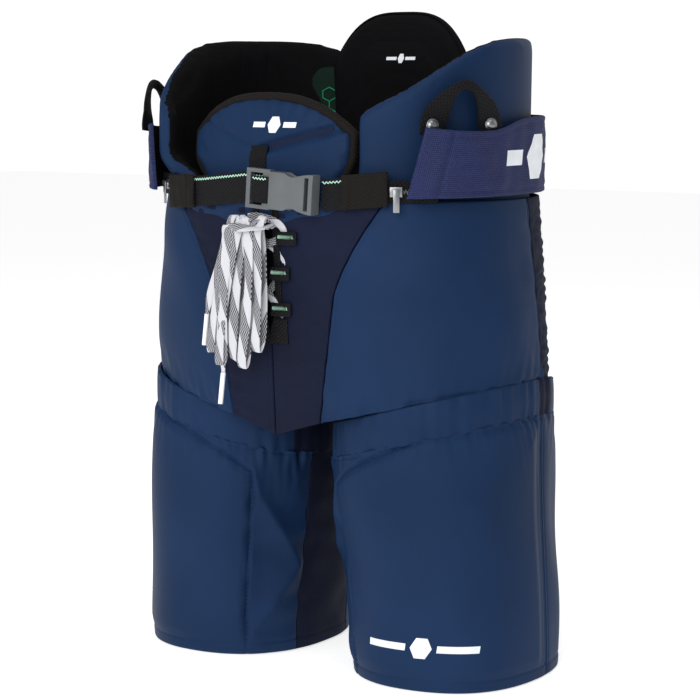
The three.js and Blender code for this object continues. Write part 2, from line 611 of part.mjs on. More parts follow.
// The loop and its rivets sit on the hip pad, and follow it where its front edge stands away.
function loopFrame(name, side, offset, z) {
  const frame = hipFrame(side, hangingLoop.angle, offset, z);
  frame.position.x += side * splay[name] * hangingLoop.shiftPerSplay;
  frame.rotation.z += side * rad(splay[name] * hangingLoop.turnPerSplay);
  return frame;
}
const rivetOffset = padOffset + rivet.backWall / 2 + 0.5;
for (const [name, side] of sides) {
  const strap = add(`${name}_hanging_loop`, loopStrap(), blackWebbing,
    loopFrame(name, side, rivetOffset + hangingLoop.standOff, hangingLoop.baseZ));
  strap.rotation.x = -rad(hangingLoop.lean);
  add(`${name}_loop_rivets`, rivetPair(), nickel, loopFrame(name, side, rivetOffset, rivet.z));

  const zipFrame = hipFrame(side, zip.angle, zip.standOff, zip.z);
  const tape = box(zip.length, zip.tapeWall, zip.tapeWidth, 0, zip.tapeWall / 2);
  add(`${name}_zip_tape`, tape, blackWebbing, zipFrame);
  const sliderX = side * (zip.length / 2 - slider.length / 2 - 2);
  const sliderMesh = add(`${name}_zip_slider`, zipSlider(), nickel, zipFrame);
  sliderMesh.position.set(sliderX, zip.tapeWall + slider.lift, 0);
  const pullMesh = add(`${name}_zip_pull`, zipPull(), nickel, zipFrame);
  const bailFront = zip.tapeWall + slider.lift + slider.height + bail.height;
  pullMesh.position.set(sliderX, bailFront + pull.gap + pull.wall / 2, -1);
}

// ---- legs ----
const legEdgeAngle = 0.2;
const bendLine = (side, angle) => seamZ(onLeg(side, angle, seam.innerZ).x);

// A leg panel between two angles, from the hem, or its own bottom, up to the bend.
function legPanel(side, from, to, options) {
  const { offset = 0, wall = legWall, low = 0, drop = seam.gap / 2, nu, nv } = options;
  return plate((u, v, depth) => {
    const angle = mix(from, to, u);
    const z = mix(low, bendLine(side, angle) - drop, v);
    return onLeg(side, angle, z, offset - depth);
  }, wall, nu, nv);
}

for (const [name, side] of sides) {
  add(`${name}_thigh_panel_lower`, legPanel(side, legPanels.front + legEdgeAngle,
    legPanels.side - legEdgeAngle, { nu: 16, nv: 4 }), navyNylon);
  add(`${name}_back_leg_panel`, legPanel(side, legPanels.side + legEdgeAngle,
    legPanels.back - legEdgeAngle, { nu: 12, nv: 4 }), navyNylon);
  add(`${name}_inner_thigh_panel`, legPanel(side, legPanels.back + legEdgeAngle,
    360 + legPanels.front - legEdgeAngle, { nu: 5, nv: 4 }), stretchFabric);

  const guardOffset = -legWall - layerClearance;
  const pocket = { low: guardPad.bottomZ, drop: guardPad.topDrop, nu: 12, nv: 4 };
  add(`${name}_thigh_guard`, legPanel(side, guardPad.inner, guardPad.outer,
    { ...pocket, offset: guardOffset, wall: guardPad.wall }), guardPlastic);
  add(`${name}_thigh_foam`, legPanel(side, guardPad.inner, guardPad.outer,
    { ...pocket, offset: guardOffset - guardPad.wall - layerClearance, wall: guardPad.foam }), foam);

  // The soft band between leg and hips, which stretches and gathers as the leg swings.
  add(`${name}_flex_band`, ring((u, v, depth) => {
    const angle = u * 360;
    const half = seam.gap / 2 - layerClearance;
    return onLeg(side, angle, bendLine(side, angle) + mix(-half, half, v), -depth);
  }, legWall, 32, 2), stretchFabric);
}

// The depth is centred on the origin, between the buckle's face and the back of the hip bands.
const backReach = waist.halfDepth + meshBand.standOff + meshBand.wall;
pants.position.y = (buckleFace - backReach) / 2;

export default pants;
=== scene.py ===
import math

import bmesh
import bpy
import numpy as np
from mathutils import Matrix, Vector
from mathutils.bvhtree import BVHTree


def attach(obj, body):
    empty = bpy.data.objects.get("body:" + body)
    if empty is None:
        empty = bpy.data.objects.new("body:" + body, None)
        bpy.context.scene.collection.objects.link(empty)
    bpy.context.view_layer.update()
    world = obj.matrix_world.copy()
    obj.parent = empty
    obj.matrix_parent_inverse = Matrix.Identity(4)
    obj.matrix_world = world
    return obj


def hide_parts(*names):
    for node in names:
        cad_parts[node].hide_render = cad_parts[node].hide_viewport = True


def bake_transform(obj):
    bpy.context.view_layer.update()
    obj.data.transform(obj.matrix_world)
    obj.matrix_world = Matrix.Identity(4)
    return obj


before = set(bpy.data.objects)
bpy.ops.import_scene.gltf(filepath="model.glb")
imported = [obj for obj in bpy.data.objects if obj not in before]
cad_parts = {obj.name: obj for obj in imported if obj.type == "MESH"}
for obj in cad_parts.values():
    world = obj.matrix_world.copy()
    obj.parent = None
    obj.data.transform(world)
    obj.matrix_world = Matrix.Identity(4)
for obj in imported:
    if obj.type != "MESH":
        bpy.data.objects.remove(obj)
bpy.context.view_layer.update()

sides = (("left", 1), ("right", -1))
print("frame loaded")

# camera, floor and light
camera = {"azimuth": 35, "distance": 1.9, "height": 0.493, "pitch": 7, "lens": 115.3}
studio = {"floor": "#f1f1f1", "world": "#ffffff", "fillStrength": 0.42, "backdropStrength": 1.05,
          "floorGlow": 0.66}


def toLinear(hexText):
    # sRGB hex to linear light, as Blender's colour sockets want it
    parts = [int(hexText[i:i + 2], 16) / 255 for i in (1, 3, 5)]
    return tuple(c / 12.92 if c <= 0.04045 else ((c + 0.055) / 1.055) ** 2.4 for c in parts) + (1.0,)


def setInputs(tree, node, inputs):
    # a socket is linked, and anything else is set as a value
    for key, value in inputs.items():
        if isinstance(value, bpy.types.NodeSocket):
            tree.links.new(value, node.inputs[key])
        else:
            node.inputs[key].default_value = value
    return node


def addNode(tree, kind, inputs=None, **settings):
    node = tree.nodes.new(kind)
    for key, value in settings.items():
        setattr(node, key, value)
    return setInputs(tree, node, inputs or {})


def ranged(tree, factor, low, high):
    return addNode(tree, "ShaderNodeMapRange", {"Value": factor, "To Min": low, "To Max": high}).outputs[0]


def makeCamera():
    turn = math.radians(camera["azimuth"])
    data = bpy.data.cameras.new("camera")
    data.lens = camera["lens"]
    data.sensor_width = 36
    data.clip_end = 20
    eye = bpy.data.objects.new("camera", data)
    eye.location = (camera["distance"] * math.sin(turn), -camera["distance"] * math.cos(turn),
                    camera["height"])
    eye.rotation_euler = (math.radians(90 - camera["pitch"]), 0, turn)
    bpy.context.collection.objects.link(eye)
    bpy.context.scene.camera = eye


def makeStudio():
    bpy.ops.mesh.primitive_plane_add(size=14, location=(0, 0, -0.0004))
    floor = bpy.context.object
    floor.name = "floor"
    material = bpy.data.materials.new("paintedFloor")
    material.use_nodes = True
    colour = toLinear(studio["floor"])
    setInputs(material.node_tree, material.node_tree.nodes["Principled BSDF"], {
        "Base Color": colour, "Roughness": 0.9, "Emission Color": colour,
        "Emission Strength": studio["floorGlow"]})
    floor.data.materials.append(material)
    world = bpy.data.worlds.new("studio")
    world.use_nodes = True
    # the backdrop is bright to the camera alone; the object gets a softer fill from it
    seen = addNode(world.node_tree, "ShaderNodeLightPath")
    strength = ranged(world.node_tree, seen.outputs["Is Camera Ray"], studio["fillStrength"],
                      studio["backdropStrength"])
    setInputs(world.node_tree, world.node_tree.nodes["Background"],
              {"Color": toLinear(studio["world"]), "Strength": strength})
    bpy.context.scene.world = world
    bpy.context.scene.view_settings.view_transform = "Standard"
    # place, aim, size and power of each softbox: key at the camera's left, fill at its right, top, rear
    boxes = {
        "key": ((0.5, -2.3, 1.3), (0, 0, 0.28), 1.6, 36),
        "side": ((-1.2, -2.1, 0.9), (0, 0, 0.25), 1.2, 6),
        "top": ((0.1, -0.3, 2.2), (0, 0, 0.3), 1.6, 12),
        "rear": ((0.4, 2.4, 1.2), (0, 0, 0.3), 1.6, 8),
    }
    for name, (place, aim, size, power) in boxes.items():
        light = bpy.data.lights.new(name, "AREA")
        light.shape = "SQUARE"
        light.size = size
        light.energy = power
        lamp = bpy.data.objects.new(name, light)
        lamp.location = place
        away = np.array(place) - np.array(aim)
        lamp.rotation_euler = (math.acos(away[2] / np.linalg.norm(away)), 0,
                               math.atan2(away[0], -away[1]))
        bpy.context.collection.objects.link(lamp)


makeCamera()
makeStudio()
print("camera and studio ready")

# outline of the pants, in millimetres
waist = {"z": 394, "halfWidth": 160, "halfDepth": 121}
seat = {"halfWidth": 178, "halfDepth": 108}
leg = {"centreX": 108, "halfWidth": 78, "halfDepth": 88, "roundness": 2.3}
legTop = {"centreX": 94, "halfWidth": 84, "halfDepth": 98, "roundness": 2.2}
seam = {"innerX": 13, "innerZ": 189, "outerX": 178, "outerZ": 231, "gap": 26}
fly = {"halfGap": 7, "bottomZ": 282, "closeLength": 26}
groin = {"topX": 104, "midX": 60, "lowX": 40, "midZ": 315}
outlineRoundness = 2.5
depthShift = 2.35
upright = np.array([0, 0, 1.0])


def mix(a, b, t):
    return a + (b - a) * t


def smooth(t):
    t = np.clip(t, 0, 1)
    return t * t * (3 - 2 * t)


def outlineRadius(angle, halfWidth, halfDepth, roundness):
    # radius of a rounded box outline at an angle in degrees: 0 is +X and -90 the front
    c = np.abs(np.cos(np.radians(angle))) / halfWidth
    s = np.abs(np.sin(np.radians(angle))) / halfDepth
    return (c ** roundness + s ** roundness) ** (-1 / roundness)


def shellHalves(z):
    t = np.clip((z - seam["innerZ"]) / (waist["z"] - seam["innerZ"]), 0, 1)
    return (mix(seat["halfWidth"], waist["halfWidth"], t ** 1.5),
            mix(seat["halfDepth"], waist["halfDepth"], t))


def sameShape(*values):
    return np.broadcast_arrays(*(np.asarray(value, float) for value in values))


def onShell(angle, z, offset=0.0):
    # point on the hip outline at an angle and a height, moved out by offset
    angle, z, offset = sameShape(angle, z, offset)
    halfWidth, halfDepth = shellHalves(z)
    r = outlineRadius(angle, halfWidth + offset, halfDepth + offset, outlineRoundness)
    return np.stack([r * np.cos(np.radians(angle)), r * np.sin(np.radians(angle)) + depthShift, z], -1)


def onLeg(side, angle, z, offset=0.0):
    # point on a leg tube; angle 0 always faces outwards
    angle, z, offset = sameShape(angle, z, offset)
    t = smooth(z / seam["innerZ"])
    halfWidth = mix(leg["halfWidth"], legTop["halfWidth"], t) + offset
    halfDepth = mix(leg["halfDepth"], legTop["halfDepth"], t) + offset
    r = outlineRadius(angle, halfWidth, halfDepth, mix(leg["roundness"], legTop["roundness"], t))
    x = mix(leg["centreX"], legTop["centreX"], t) + r * np.cos(np.radians(angle))
    return np.stack([side * x, r * np.sin(np.radians(angle)) + depthShift, z], -1)


def frontAngle(x, z, offset=0.0):
    # angle at which the front of the hip outline reaches x
    halfWidth, halfDepth = shellHalves(np.asarray(z, float))
    across = np.minimum(np.abs(x) / (halfWidth + offset), 0.999)
    y = (halfDepth + offset) * (1 - across ** outlineRoundness) ** (1 / outlineRoundness)
    return -np.degrees(np.arctan2(y, x))


def onFront(x, z, offset=0.0):
    # point on the front of the hip outline at x and a height, moved out by offset
    return onShell(frontAngle(x, z), z, offset)


def seamZ(x):
    share = (np.abs(x) - seam["innerX"]) / (seam["outerX"] - seam["innerX"])
    return mix(seam["innerZ"], seam["outerZ"], share)


def mirrored(side, angle):
    return angle if side > 0 else 180 - angle


def groinX(z):
    # front seam between the stretch panel and the thigh panel: a curved V
    z = np.asarray(z, float)
    high = np.clip((z - groin["midZ"]) / (waist["z"] - groin["midZ"]), 0, 1)
    low = np.clip((z - seam["innerZ"]) / (groin["midZ"] - seam["innerZ"]), 0, 1)
    upper = mix(groin["midX"], groin["topX"], high ** 1.3)
    return np.where(z > groin["midZ"], upper, mix(groin["lowX"], groin["midX"], low))


def flyEdgeX(z):
    return mix(0.3, fly["halfGap"], smooth((np.asarray(z, float) - fly["bottomZ"]) / fly["closeLength"]))


# mesh helpers
def spread(count, ends=0.55):
    # count + 1 steps from 0 to 1, closer together near both ends
    t = np.linspace(0, 1, count + 1)
    return mix(t, (1 - np.cos(math.pi * t)) / 2, ends)


def grid(nu, nv, ends=0.55):
    return np.meshgrid(spread(nu, ends), spread(nv, ends))


def ripple(a, b, scale, seed):
    # smooth random waves: a sum of sines with seeded directions, in -1 to 1
    rng = np.random.default_rng(seed)
    total = 0.0
    for _ in range(7):
        turn = rng.uniform(0, 2 * math.pi)
        rate = rng.uniform(0.55, 1.6) / scale
        phase = rng.uniform(0, 2 * math.pi)
        total = total + np.sin(2 * math.pi * rate * (a * math.cos(turn) + b * math.sin(turn)) + phase)
    return total / 3.6


def unit(v):
    return v / np.maximum(np.linalg.norm(v, axis=-1, keepdims=True), 1e-9)


def runOf(path):
    # length along a polyline up to each of its points
    return np.concatenate([[0], np.cumsum(np.linalg.norm(np.diff(path, axis=0), axis=1))])


def surfaceFacts(p, centre=None):
    # normals turned away from centre, and lengths along both ways, of a grid of points
    du, dv = np.gradient(p, axis=1), np.gradient(p, axis=0)
    normal = unit(np.cross(du, dv))
    if centre is not None and ((p - centre) * normal)[..., :2].sum() < 0:
        normal = -normal
    stepU = np.linalg.norm(np.diff(p, axis=1), axis=-1)
    stepV = np.linalg.norm(np.diff(p, axis=0), axis=-1)
    alongU = np.concatenate([np.zeros((p.shape[0], 1)), np.cumsum(stepU, 1)], 1)
    alongV = np.concatenate([np.zeros((1, p.shape[1])), np.cumsum(stepV, 0)], 0)
    return {
        "normal": normal, "uv": np.stack(np.broadcast_arrays(alongU, alongV), -1), "u": alongU, "v": alongV,
        "left": alongU, "right": alongU[:, -1:] - alongU, "low": alongV, "high": alongV[-1:] - alongV,
    }


def edgeDistance(facts, *ways):
    return np.minimum.reduce([facts[way] for way in ways or ("left", "right", "low", "high")])


def segmentDistance(x, z, a, b):
    # distance in a plane to a straight line from a to b
    ax, az, bx, bz = *a, *b
    t = np.clip(((x - ax) * (bx - ax) + (z - az) * (bz - az)) / ((bx - ax) ** 2 + (bz - az) ** 2), 0, 1)
    return np.hypot(x - ax - t * (bx - ax), z - az - t * (bz - az))


def faceVectors(mesh, key):
    values = np.empty(len(mesh.polygons) * 3)
    mesh.polygons.foreach_get(key, values)
    return values.reshape(-1, 3)


def meshPiece(name, points, faces, body, materials, uv=None, index=None, sharp=50):
    # a mesh from points in millimetres; faces are turned outwards by the sign of the volume
    points = np.asarray(points, float)
    quads = np.asarray(faces, int) if not isinstance(faces, list) else None
    if quads is not None:
        a, b, c, d = (points[quads[:, k]] for k in range(4))
        if (a * (np.cross(b, c) + np.cross(c, d))).sum() < 0:
            quads = quads[:, ::-1]
        faces = quads.tolist()
    mesh = bpy.data.meshes.new(name)
    mesh.from_pydata((points * 0.001).tolist(), [], faces)
    if uv is not None:
        layer = mesh.uv_layers.new(name="UVMap")
        corners = np.zeros(len(mesh.loops), int)
        mesh.loops.foreach_get("vertex_index", corners)
        layer.data.foreach_set("uv", (np.asarray(uv, float)[corners] * 0.001).ravel())
    for material in materials:
        mesh.materials.append(material)
    if index is not None:
        mesh.polygons.foreach_set("material_index", np.asarray(index, np.int32))
    mesh.polygons.foreach_set("use_smooth", [True] * len(mesh.polygons))
    mesh.set_sharp_from_angle(angle=math.radians(sharp))
    mesh.validate()
    mesh.update()
    piece = bpy.data.objects.new(name, mesh)
    bpy.context.collection.objects.link(piece)
    if body:
        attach(piece, body)
    return piece


def skinPiece(name, outer, inner, body, materials, uv=None, closed=False, faceIndex=None):
    # a closed skin between two grids of points; closed joins the first and last columns
    rows, columns = outer.shape[:2]
    columnsUsed = columns - 1 if closed else columns
    outer, inner = outer[:, :columnsUsed], inner[:, :columnsUsed]
    points = np.concatenate([outer.reshape(-1, 3), inner.reshape(-1, 3)])
    layer = rows * columnsUsed
    at = np.arange(layer).reshape(rows, columnsUsed)
    right = np.roll(at, -1, 1) if closed else at[:, 1:]
    here = at if closed else at[:, :-1]
    faces = [np.stack([here[:-1], right[:-1], right[1:], here[1:]], -1).reshape(-1, 4)]
    faces.append(faces[0][:, ::-1] + layer)
    kinds = [np.zeros(len(faces[0]), int), np.ones(len(faces[0]), int)]
    rims = [(here[0], right[0], True), (here[-1], right[-1], False)]
    if not closed:
        rims += [(at[:-1, 0], at[1:, 0], False), (at[:-1, -1], at[1:, -1], True)]
    for a, b, turned in rims:
        rim = np.stack([a, a + layer, b + layer, b], -1)
        faces.append(rim if turned else rim[:, ::-1])
        kinds.append(np.full(len(rim), 2, int))
    faces, kinds = np.concatenate(faces), np.concatenate(kinds)
    index = None if faceIndex is None else np.asarray(faceIndex)[kinds]
    if uv is not None:
        uv = uv[:, :columnsUsed].reshape(-1, 2)
        uv = np.concatenate([uv, uv])
    return meshPiece(name, points, faces, body, materials, uv, index)


cubeCorners = np.array([[-1, -1, -1], [1, -1, -1], [1, 1, -1], [-1, 1, -1],
                        [-1, -1, 1], [1, -1, 1], [1, 1, 1], [-1, 1, 1]], float)
cubeFaces = np.array([[0, 3, 2, 1], [4, 5, 6, 7], [0, 1, 5, 4], [2, 3, 7, 6], [1, 2, 6, 5], [3, 0, 4, 7]])


def boxesPiece(name, points, body, material):
    # many boxes in one piece, from the eight corners of each
    points = points.reshape(-1, 3)
    faces = (cubeFaces[None] + np.arange(0, len(points), 8)[:, None, None]).reshape(-1, 4)
    return meshPiece(name, points, faces, body, [material], sharp=30)


def ringQuads(at):
    # faces between rings of point numbers, each ring closed on itself
    return np.stack([at[:-1], np.roll(at[:-1], -1, 1), np.roll(at[1:], -1, 1), at[1:]], -1).reshape(-1, 4)


def tubePiece(name, rings, body, materials, uv=None, sharp=60):
    # a closed tube through rings of points, with flat ends
    points = rings.reshape(-1, 3)
    at = np.arange(len(points)).reshape(rings.shape[:2])
    quads = ringQuads(at)
    a, b, c = (points[quads[:, k]] for k in range(3))
    middle = np.repeat(rings.mean(1), rings.shape[1], 0)[quads[:, 0]]
    if (np.cross(b - a, c - a) * (a - middle)).sum() < 0:
        quads, at = quads[:, ::-1], at[:, ::-1]
    caps = [at[0][::-1].tolist(), at[-1].tolist()]
    return meshPiece(name, points, quads.tolist() + caps, body, materials, uv, None, sharp)


def edgeRoll(distance, radius):
    # how far a rolled edge of that radius has dropped at a distance from it
    d = np.clip(radius - distance, 0, radius)
    return radius - np.sqrt(np.maximum(radius ** 2 - d ** 2, 0))


def fabricPanel(name, p, body, materials, wall, lift, roll=1.8, centre=(0, 0, 0), closed=False):
    # a padded cloth panel: base grid plus relief along its normal, with its edges rolled under;
    # a second material is the cloth of its inner face
    rollSides = ("low", "high") if closed else ("left", "right", "low", "high")
    facts = surfaceFacts(p, np.array(centre, float))
    if closed:
        first = facts["normal"][:, :1] + facts["normal"][:, -1:]
        facts["normal"][:, :1] = facts["normal"][:, -1:] = unit(first)
    drop = edgeRoll(edgeDistance(facts, *rollSides), roll)
    outer = p + facts["normal"] * (lift(facts) - drop)[..., None]
    inner = p - facts["normal"] * (wall - 0.35 * drop)[..., None]
    faceIndex = [0, 1, 0] if len(materials) > 1 else None
    return skinPiece(name, outer, inner, body, materials, facts["uv"], closed, faceIndex)


def ribbonPiece(name, path, normals, width, thick, body, materials, sides=12, power=2.6, taper=None):
    # a flat strap: a squashed ellipse, or a boxier one for a higher power, carried along a path
    path, normals = np.asarray(path, float), unit(np.asarray(normals, float))
    tangent = unit(np.gradient(path, axis=0))
    across = unit(np.cross(tangent, normals))
    up = unit(np.cross(across, tangent))
    turn = np.linspace(0, 2 * math.pi, sides, endpoint=False) + math.pi / sides
    cx = np.sign(np.cos(turn)) * np.abs(np.cos(turn)) ** (2 / power)
    cy = np.sign(np.sin(turn)) * np.abs(np.sin(turn)) ** (2 / power)
    scale = np.ones(len(path)) if taper is None else np.asarray(taper, float)
    widths = np.broadcast_to(np.asarray(width, float), scale.shape) * scale
    thicks = np.broadcast_to(np.asarray(thick, float), scale.shape)
    half = widths[:, None, None] / 2 * across[:, None] * cx[None, :, None]
    rise = thicks[:, None, None] / 2 * up[:, None] * cy[None, :, None]
    uv = np.stack([np.repeat(runOf(path), sides), (widths[:, None] / 2 * cx[None]).reshape(-1)], -1)
    return tubePiece(name, path[:, None] + half + rise, body, materials, uv)


def between(wanted, at, values):
    # rows of values, known at some places along a run, at the wanted places
    return np.stack([np.interp(wanted, at, values[:, k]) for k in range(values.shape[1])], -1)


def resample(path, step):
    # points a step apart along a polyline smoothed by a Catmull-Rom spline
    path = np.asarray(path, float)
    ends = np.concatenate([[2 * path[0] - path[1]], path, [2 * path[-1] - path[-2]]])
    t = np.linspace(0, 1, 24, endpoint=False)[:, None, None]
    a, b, c, d = ends[:-3], ends[1:-2], ends[2:-1], ends[3:]
    fine = 0.5 * (2 * b + (c - a) * t + (2 * a - 5 * b + 4 * c - d) * t ** 2
                  + (3 * b - a - 3 * c + d) * t ** 3)
    fine = np.concatenate([fine.transpose(1, 0, 2).reshape(-1, path.shape[1]), path[-1:]])
    length = runOf(fine)
    count = max(2, int(round(length[-1] / step)))
    return between(np.linspace(0, length[-1], count + 1), length, fine)


def stitchRow(name, path, normals, body, material, pitch, length, radius):
    # one short thread per pitch: a six sided spindle that dips into the cloth at both ends
    path, normals = np.asarray(path, float), unit(np.asarray(normals, float))
    run = runOf(path)
    middles = np.arange(pitch / 2, run[-1] - pitch / 2, pitch)
    point = between(middles, run, path)
    normal = unit(between(middles, run, normals))
    tangent = unit(between(middles, run, np.gradient(path, axis=0)))
    across = unit(np.cross(tangent, normal))
    steps = np.array([-0.5, -0.32, 0, 0.32, 0.5]) * length
    sizes = np.array([0.35, 0.9, 1.0, 0.9, 0.35]) * radius
    sink = np.array([-0.9, 0.1, 0.5, 0.1, -0.9]) * radius
    turn = np.linspace(0, 2 * math.pi, 6, endpoint=False)
    ring = np.cos(turn)[:, None] * across[:, None, None] * sizes[None, :, None, None]
    ring = ring + np.sin(turn)[:, None] * normal[:, None, None] * sizes[None, :, None, None]
    centre = point[:, None] + tangent[:, None] * steps[None, :, None]
    centre = centre + normal[:, None] * sink[None, :, None]
    points = (centre[:, :, None] + ring).reshape(-1, 3)
    at = np.arange(30).reshape(5, 6)
    caps = np.array([at[0][[0, 1, 2, 3]], at[0][[0, 3, 4, 5]], at[-1][[3, 2, 1, 0]], at[-1][[5, 4, 3, 0]]])
    one = np.concatenate([ringQuads(at), caps[:, ::-1]])
    faces = (one[None] + at.size * np.arange(len(middles))[:, None, None]).reshape(-1, 4)
    return meshPiece(name, points, faces, body, [material], sharp=80)


def shellNormal(p):
    # outward direction of the hip outline, from its nearest point around the middle
    halfWidth, halfDepth = shellHalves(p[..., 2])
    x, y = p[..., 0], p[..., 1] - depthShift
    power = outlineRoundness - 1
    nx = np.sign(x) * (np.abs(x) / halfWidth) ** power / halfWidth
    ny = np.sign(y) * (np.abs(y) / halfDepth) ** power / halfDepth
    return unit(np.stack([nx, ny, 0 * nx], -1))


# materials
def newMaterial(name):
    material = bpy.data.materials.new(name)
    material.use_nodes = True
    tree = material.node_tree
    return material, tree, tree.nodes["Principled BSDF"], addNode(tree, "ShaderNodeTexCoord").outputs


def computed(tree, operation, *values):
    return addNode(tree, "ShaderNodeMath", dict(enumerate(values)), operation=operation).outputs[0]


def speckle(tree, vector, scale, detail):
    noise = addNode(tree, "ShaderNodeTexNoise", {"Vector": vector, "Scale": scale, "Detail": detail})
    return noise.outputs["Fac"]


def relief(tree, height, strength, distance):
    bump = {"Height": height, "Strength": strength, "Distance": distance}
    return addNode(tree, "ShaderNodeBump", bump).outputs[0]


def ramp(tree, factor, stops):
    node = addNode(tree, "ShaderNodeValToRGB", {"Fac": factor})
    elements = node.color_ramp.elements
    for element, (place, value) in zip(elements, stops):
        element.position = place
        element.color = value
    return node.outputs["Color"]


def weave(tree, vector, period, turn=0.0):
    # over-and-under threads: two crossed sine bands multiplied, period in metres
    mapping = addNode(tree, "ShaderNodeMapping", {"Vector": vector, "Rotation": (0, 0, turn)})
    # a wave texture's band repeats every 0.314 / scale
    wave = {"Vector": mapping.outputs[0], "Scale": 0.3142 / period, "Distortion": 0.4, "Detail": 1.0}
    bands = [addNode(tree, "ShaderNodeTexWave", wave, bands_direction=way).outputs["Fac"] for way in "XY"]
    return computed(tree, "MULTIPLY", *bands)


def clothMaterial(name, dark, light, period, bump, roughness, spec, useUv=True, turn=0.0):
    # woven cloth: two tones mixed by slow blotches and the weave, and a bump from the threads
    material, tree, shader, coords = newMaterial(name)
    threads = weave(tree, coords["UV" if useUv else "Object"], period, turn)
    slow = speckle(tree, coords["Object"], 9.0, 3.0)
    fuzz = speckle(tree, coords["Object"], 420.0, 2.0)
    share = computed(tree, "MULTIPLY_ADD", threads, 0.35, slow)
    height = computed(tree, "MULTIPLY_ADD", fuzz, 0.5, threads)
    setInputs(tree, shader, {
        "Base Color": ramp(tree, share, [(0.25, toLinear(dark)), (0.95, toLinear(light))]),
        "Roughness": ranged(tree, slow, roughness - 0.06, roughness + 0.07),
        "Specular IOR Level": spec, "Normal": relief(tree, height, bump, 0.0004)})
    return material


def meshClothMaterial(name, hole, thread, cell, bump, roughness):
    # knitted spacer mesh: small round holes in a net, drawn a little coarse so that they show
    material, tree, shader, coords = newMaterial(name)
    net = {"Vector": coords["UV"], "Scale": 1 / cell, "Randomness": 0.22}
    cells = addNode(tree, "ShaderNodeTexVoronoi", net).outputs["Distance"]
    setInputs(tree, shader, {
        "Base Color": ramp(tree, cells, [(0.12, toLinear(hole)), (0.5, toLinear(thread))]),
        "Roughness": roughness, "Specular IOR Level": 0.15, "Normal": relief(tree, cells, bump, 0.0006)})
    return material


def webbingMaterial(name, dark, light, rib, bump, roughness=0.72):
    # flat webbing: slanted ribs across the run, from the piece's own UV
    material, tree, shader, coords = newMaterial(name)
    ribs = weave(tree, coords["UV"], rib, math.radians(38))
    setInputs(tree, shader, {
        "Base Color": ramp(tree, ribs, [(0.1, toLinear(dark)), (0.9, toLinear(light))]),
        "Roughness": roughness, "Specular IOR Level": 0.18, "Normal": relief(tree, ribs, bump, 0.0006)})
    return material


def plasticMaterial(name, base, roughness, grain=0.12, spec=0.5, coat=0.0):
    # moulded acetal or polyethylene: an even colour with a fine spark-eroded grain
    material, tree, shader, coords = newMaterial(name)
    worn = speckle(tree, coords["Object"], 60.0, 4.0)
    paler = [min(1.0, c * 1.18) for c in toLinear(base)[:3]] + [1.0]
    setInputs(tree, shader, {
        "Base Color": ramp(tree, worn, [(0.3, toLinear(base)), (0.8, paler)]),
        "Roughness": roughness, "Specular IOR Level": spec, "Coat Weight": coat,
        "Normal": relief(tree, speckle(tree, coords["Object"], 900.0, 2.0), grain, 0.0003)})
    return material


def metalMaterial(name, base, roughness):
    # polished nickel plate with faint handling marks
    material, tree, shader, coords = newMaterial(name)
    marks = speckle(tree, coords["Object"], 320.0, 4.0)
    setInputs(tree, shader, {"Base Color": toLinear(base), "Metallic": 1.0,
                             "Roughness": ranged(tree, marks, roughness, roughness + 0.15)})
    return material


lace = {"width": 8.6, "thick": 1.7, "rowWidth": 6.2, "dash": 0.0021, "stripe": 0.0009, "repeat": 0.047,
        "slant": 52.0, "checkedShare": 0.52, "plain": "#c9c9cf", "darkCheck": "#1c1c22", "paleCheck": "#a9a9b0"}


def laceMaterial(name):
    # flat woven lace: white runs change to charcoal lozenge checks every few centimetres
    material, tree, shader, coords = newMaterial(name)
    dashes = addNode(tree, "ShaderNodeMapping", {"Vector": coords["UV"],
                                                 "Scale": (1 / lace["dash"], 1 / lace["stripe"], 1.0)})
    checks = addNode(tree, "ShaderNodeTexChecker", {
        "Vector": dashes.outputs[0], "Scale": 1.0, "Color1": toLinear(lace["darkCheck"]),
        "Color2": toLinear(lace["paleCheck"])})
    parts = addNode(tree, "ShaderNodeSeparateXYZ", {0: coords["UV"]}).outputs
    along = computed(tree, "MULTIPLY", parts["X"], 1 / lace["repeat"])
    turns = computed(tree, "MULTIPLY_ADD", parts["Y"], lace["slant"], along)
    checked = computed(tree, "GREATER_THAN", computed(tree, "FRACT", turns), 1 - lace["checkedShare"])
    # in a colour mix, inputs 6 and 7 are the two colours and output 2 is their mix
    tone = addNode(tree, "ShaderNodeMix", {"Factor": checked}, data_type="RGBA")
    setInputs(tree, tone, {6: toLinear(lace["plain"]), 7: checks.outputs["Color"]})
    threads = weave(tree, coords["UV"], 0.0011, math.radians(45))
    setInputs(tree, shader, {"Base Color": tone.outputs[2], "Roughness": 0.85, "Sheen Weight": 0.2,
                             "Normal": relief(tree, threads, 0.6, 0.0004)})
    return material


nylon = clothMaterial("nylonOxford", "#112541", "#1b3153", 0.0011, 0.22, 0.5, 0.07)
stretch = clothMaterial("ribbedStretch", "#0b1020", "#191e36", 0.0016, 0.5, 0.74, 0.1, turn=0.6)
bandMesh = meshClothMaterial("spacerMesh", "#0e1228", "#2a315a", 0.0016, 0.7, 0.7)
greenMesh = meshClothMaterial("darkLinerMesh", "#020504", "#06241a", 0.0016, 0.6, 0.7)
hexThread = plasticMaterial("greenHexPrint", "#0c7a55", 0.6, 0.3, spec=0.15)
lining = clothMaterial("brushedTricot", "#040405", "#0d0d10", 0.0012, 0.3, 0.82, 0.08, useUv=False)
binding = webbingMaterial("foldedBinding", "#0c0908", "#1e1715", 0.0022, 0.5, 0.8)
webbing = webbingMaterial("polyesterWebbing", "#060608", "#14151a", 0.0026, 0.8)
navyEdge = webbingMaterial("navyTape", "#091630", "#132447", 0.0018, 0.5, 0.7)
mintThread = plasticMaterial("mintThread", "#a9d2bd", 0.6, 0.4, spec=0.2)
navyThread = plasticMaterial("navyThread", "#1d3157", 0.6, 0.4, spec=0.2)
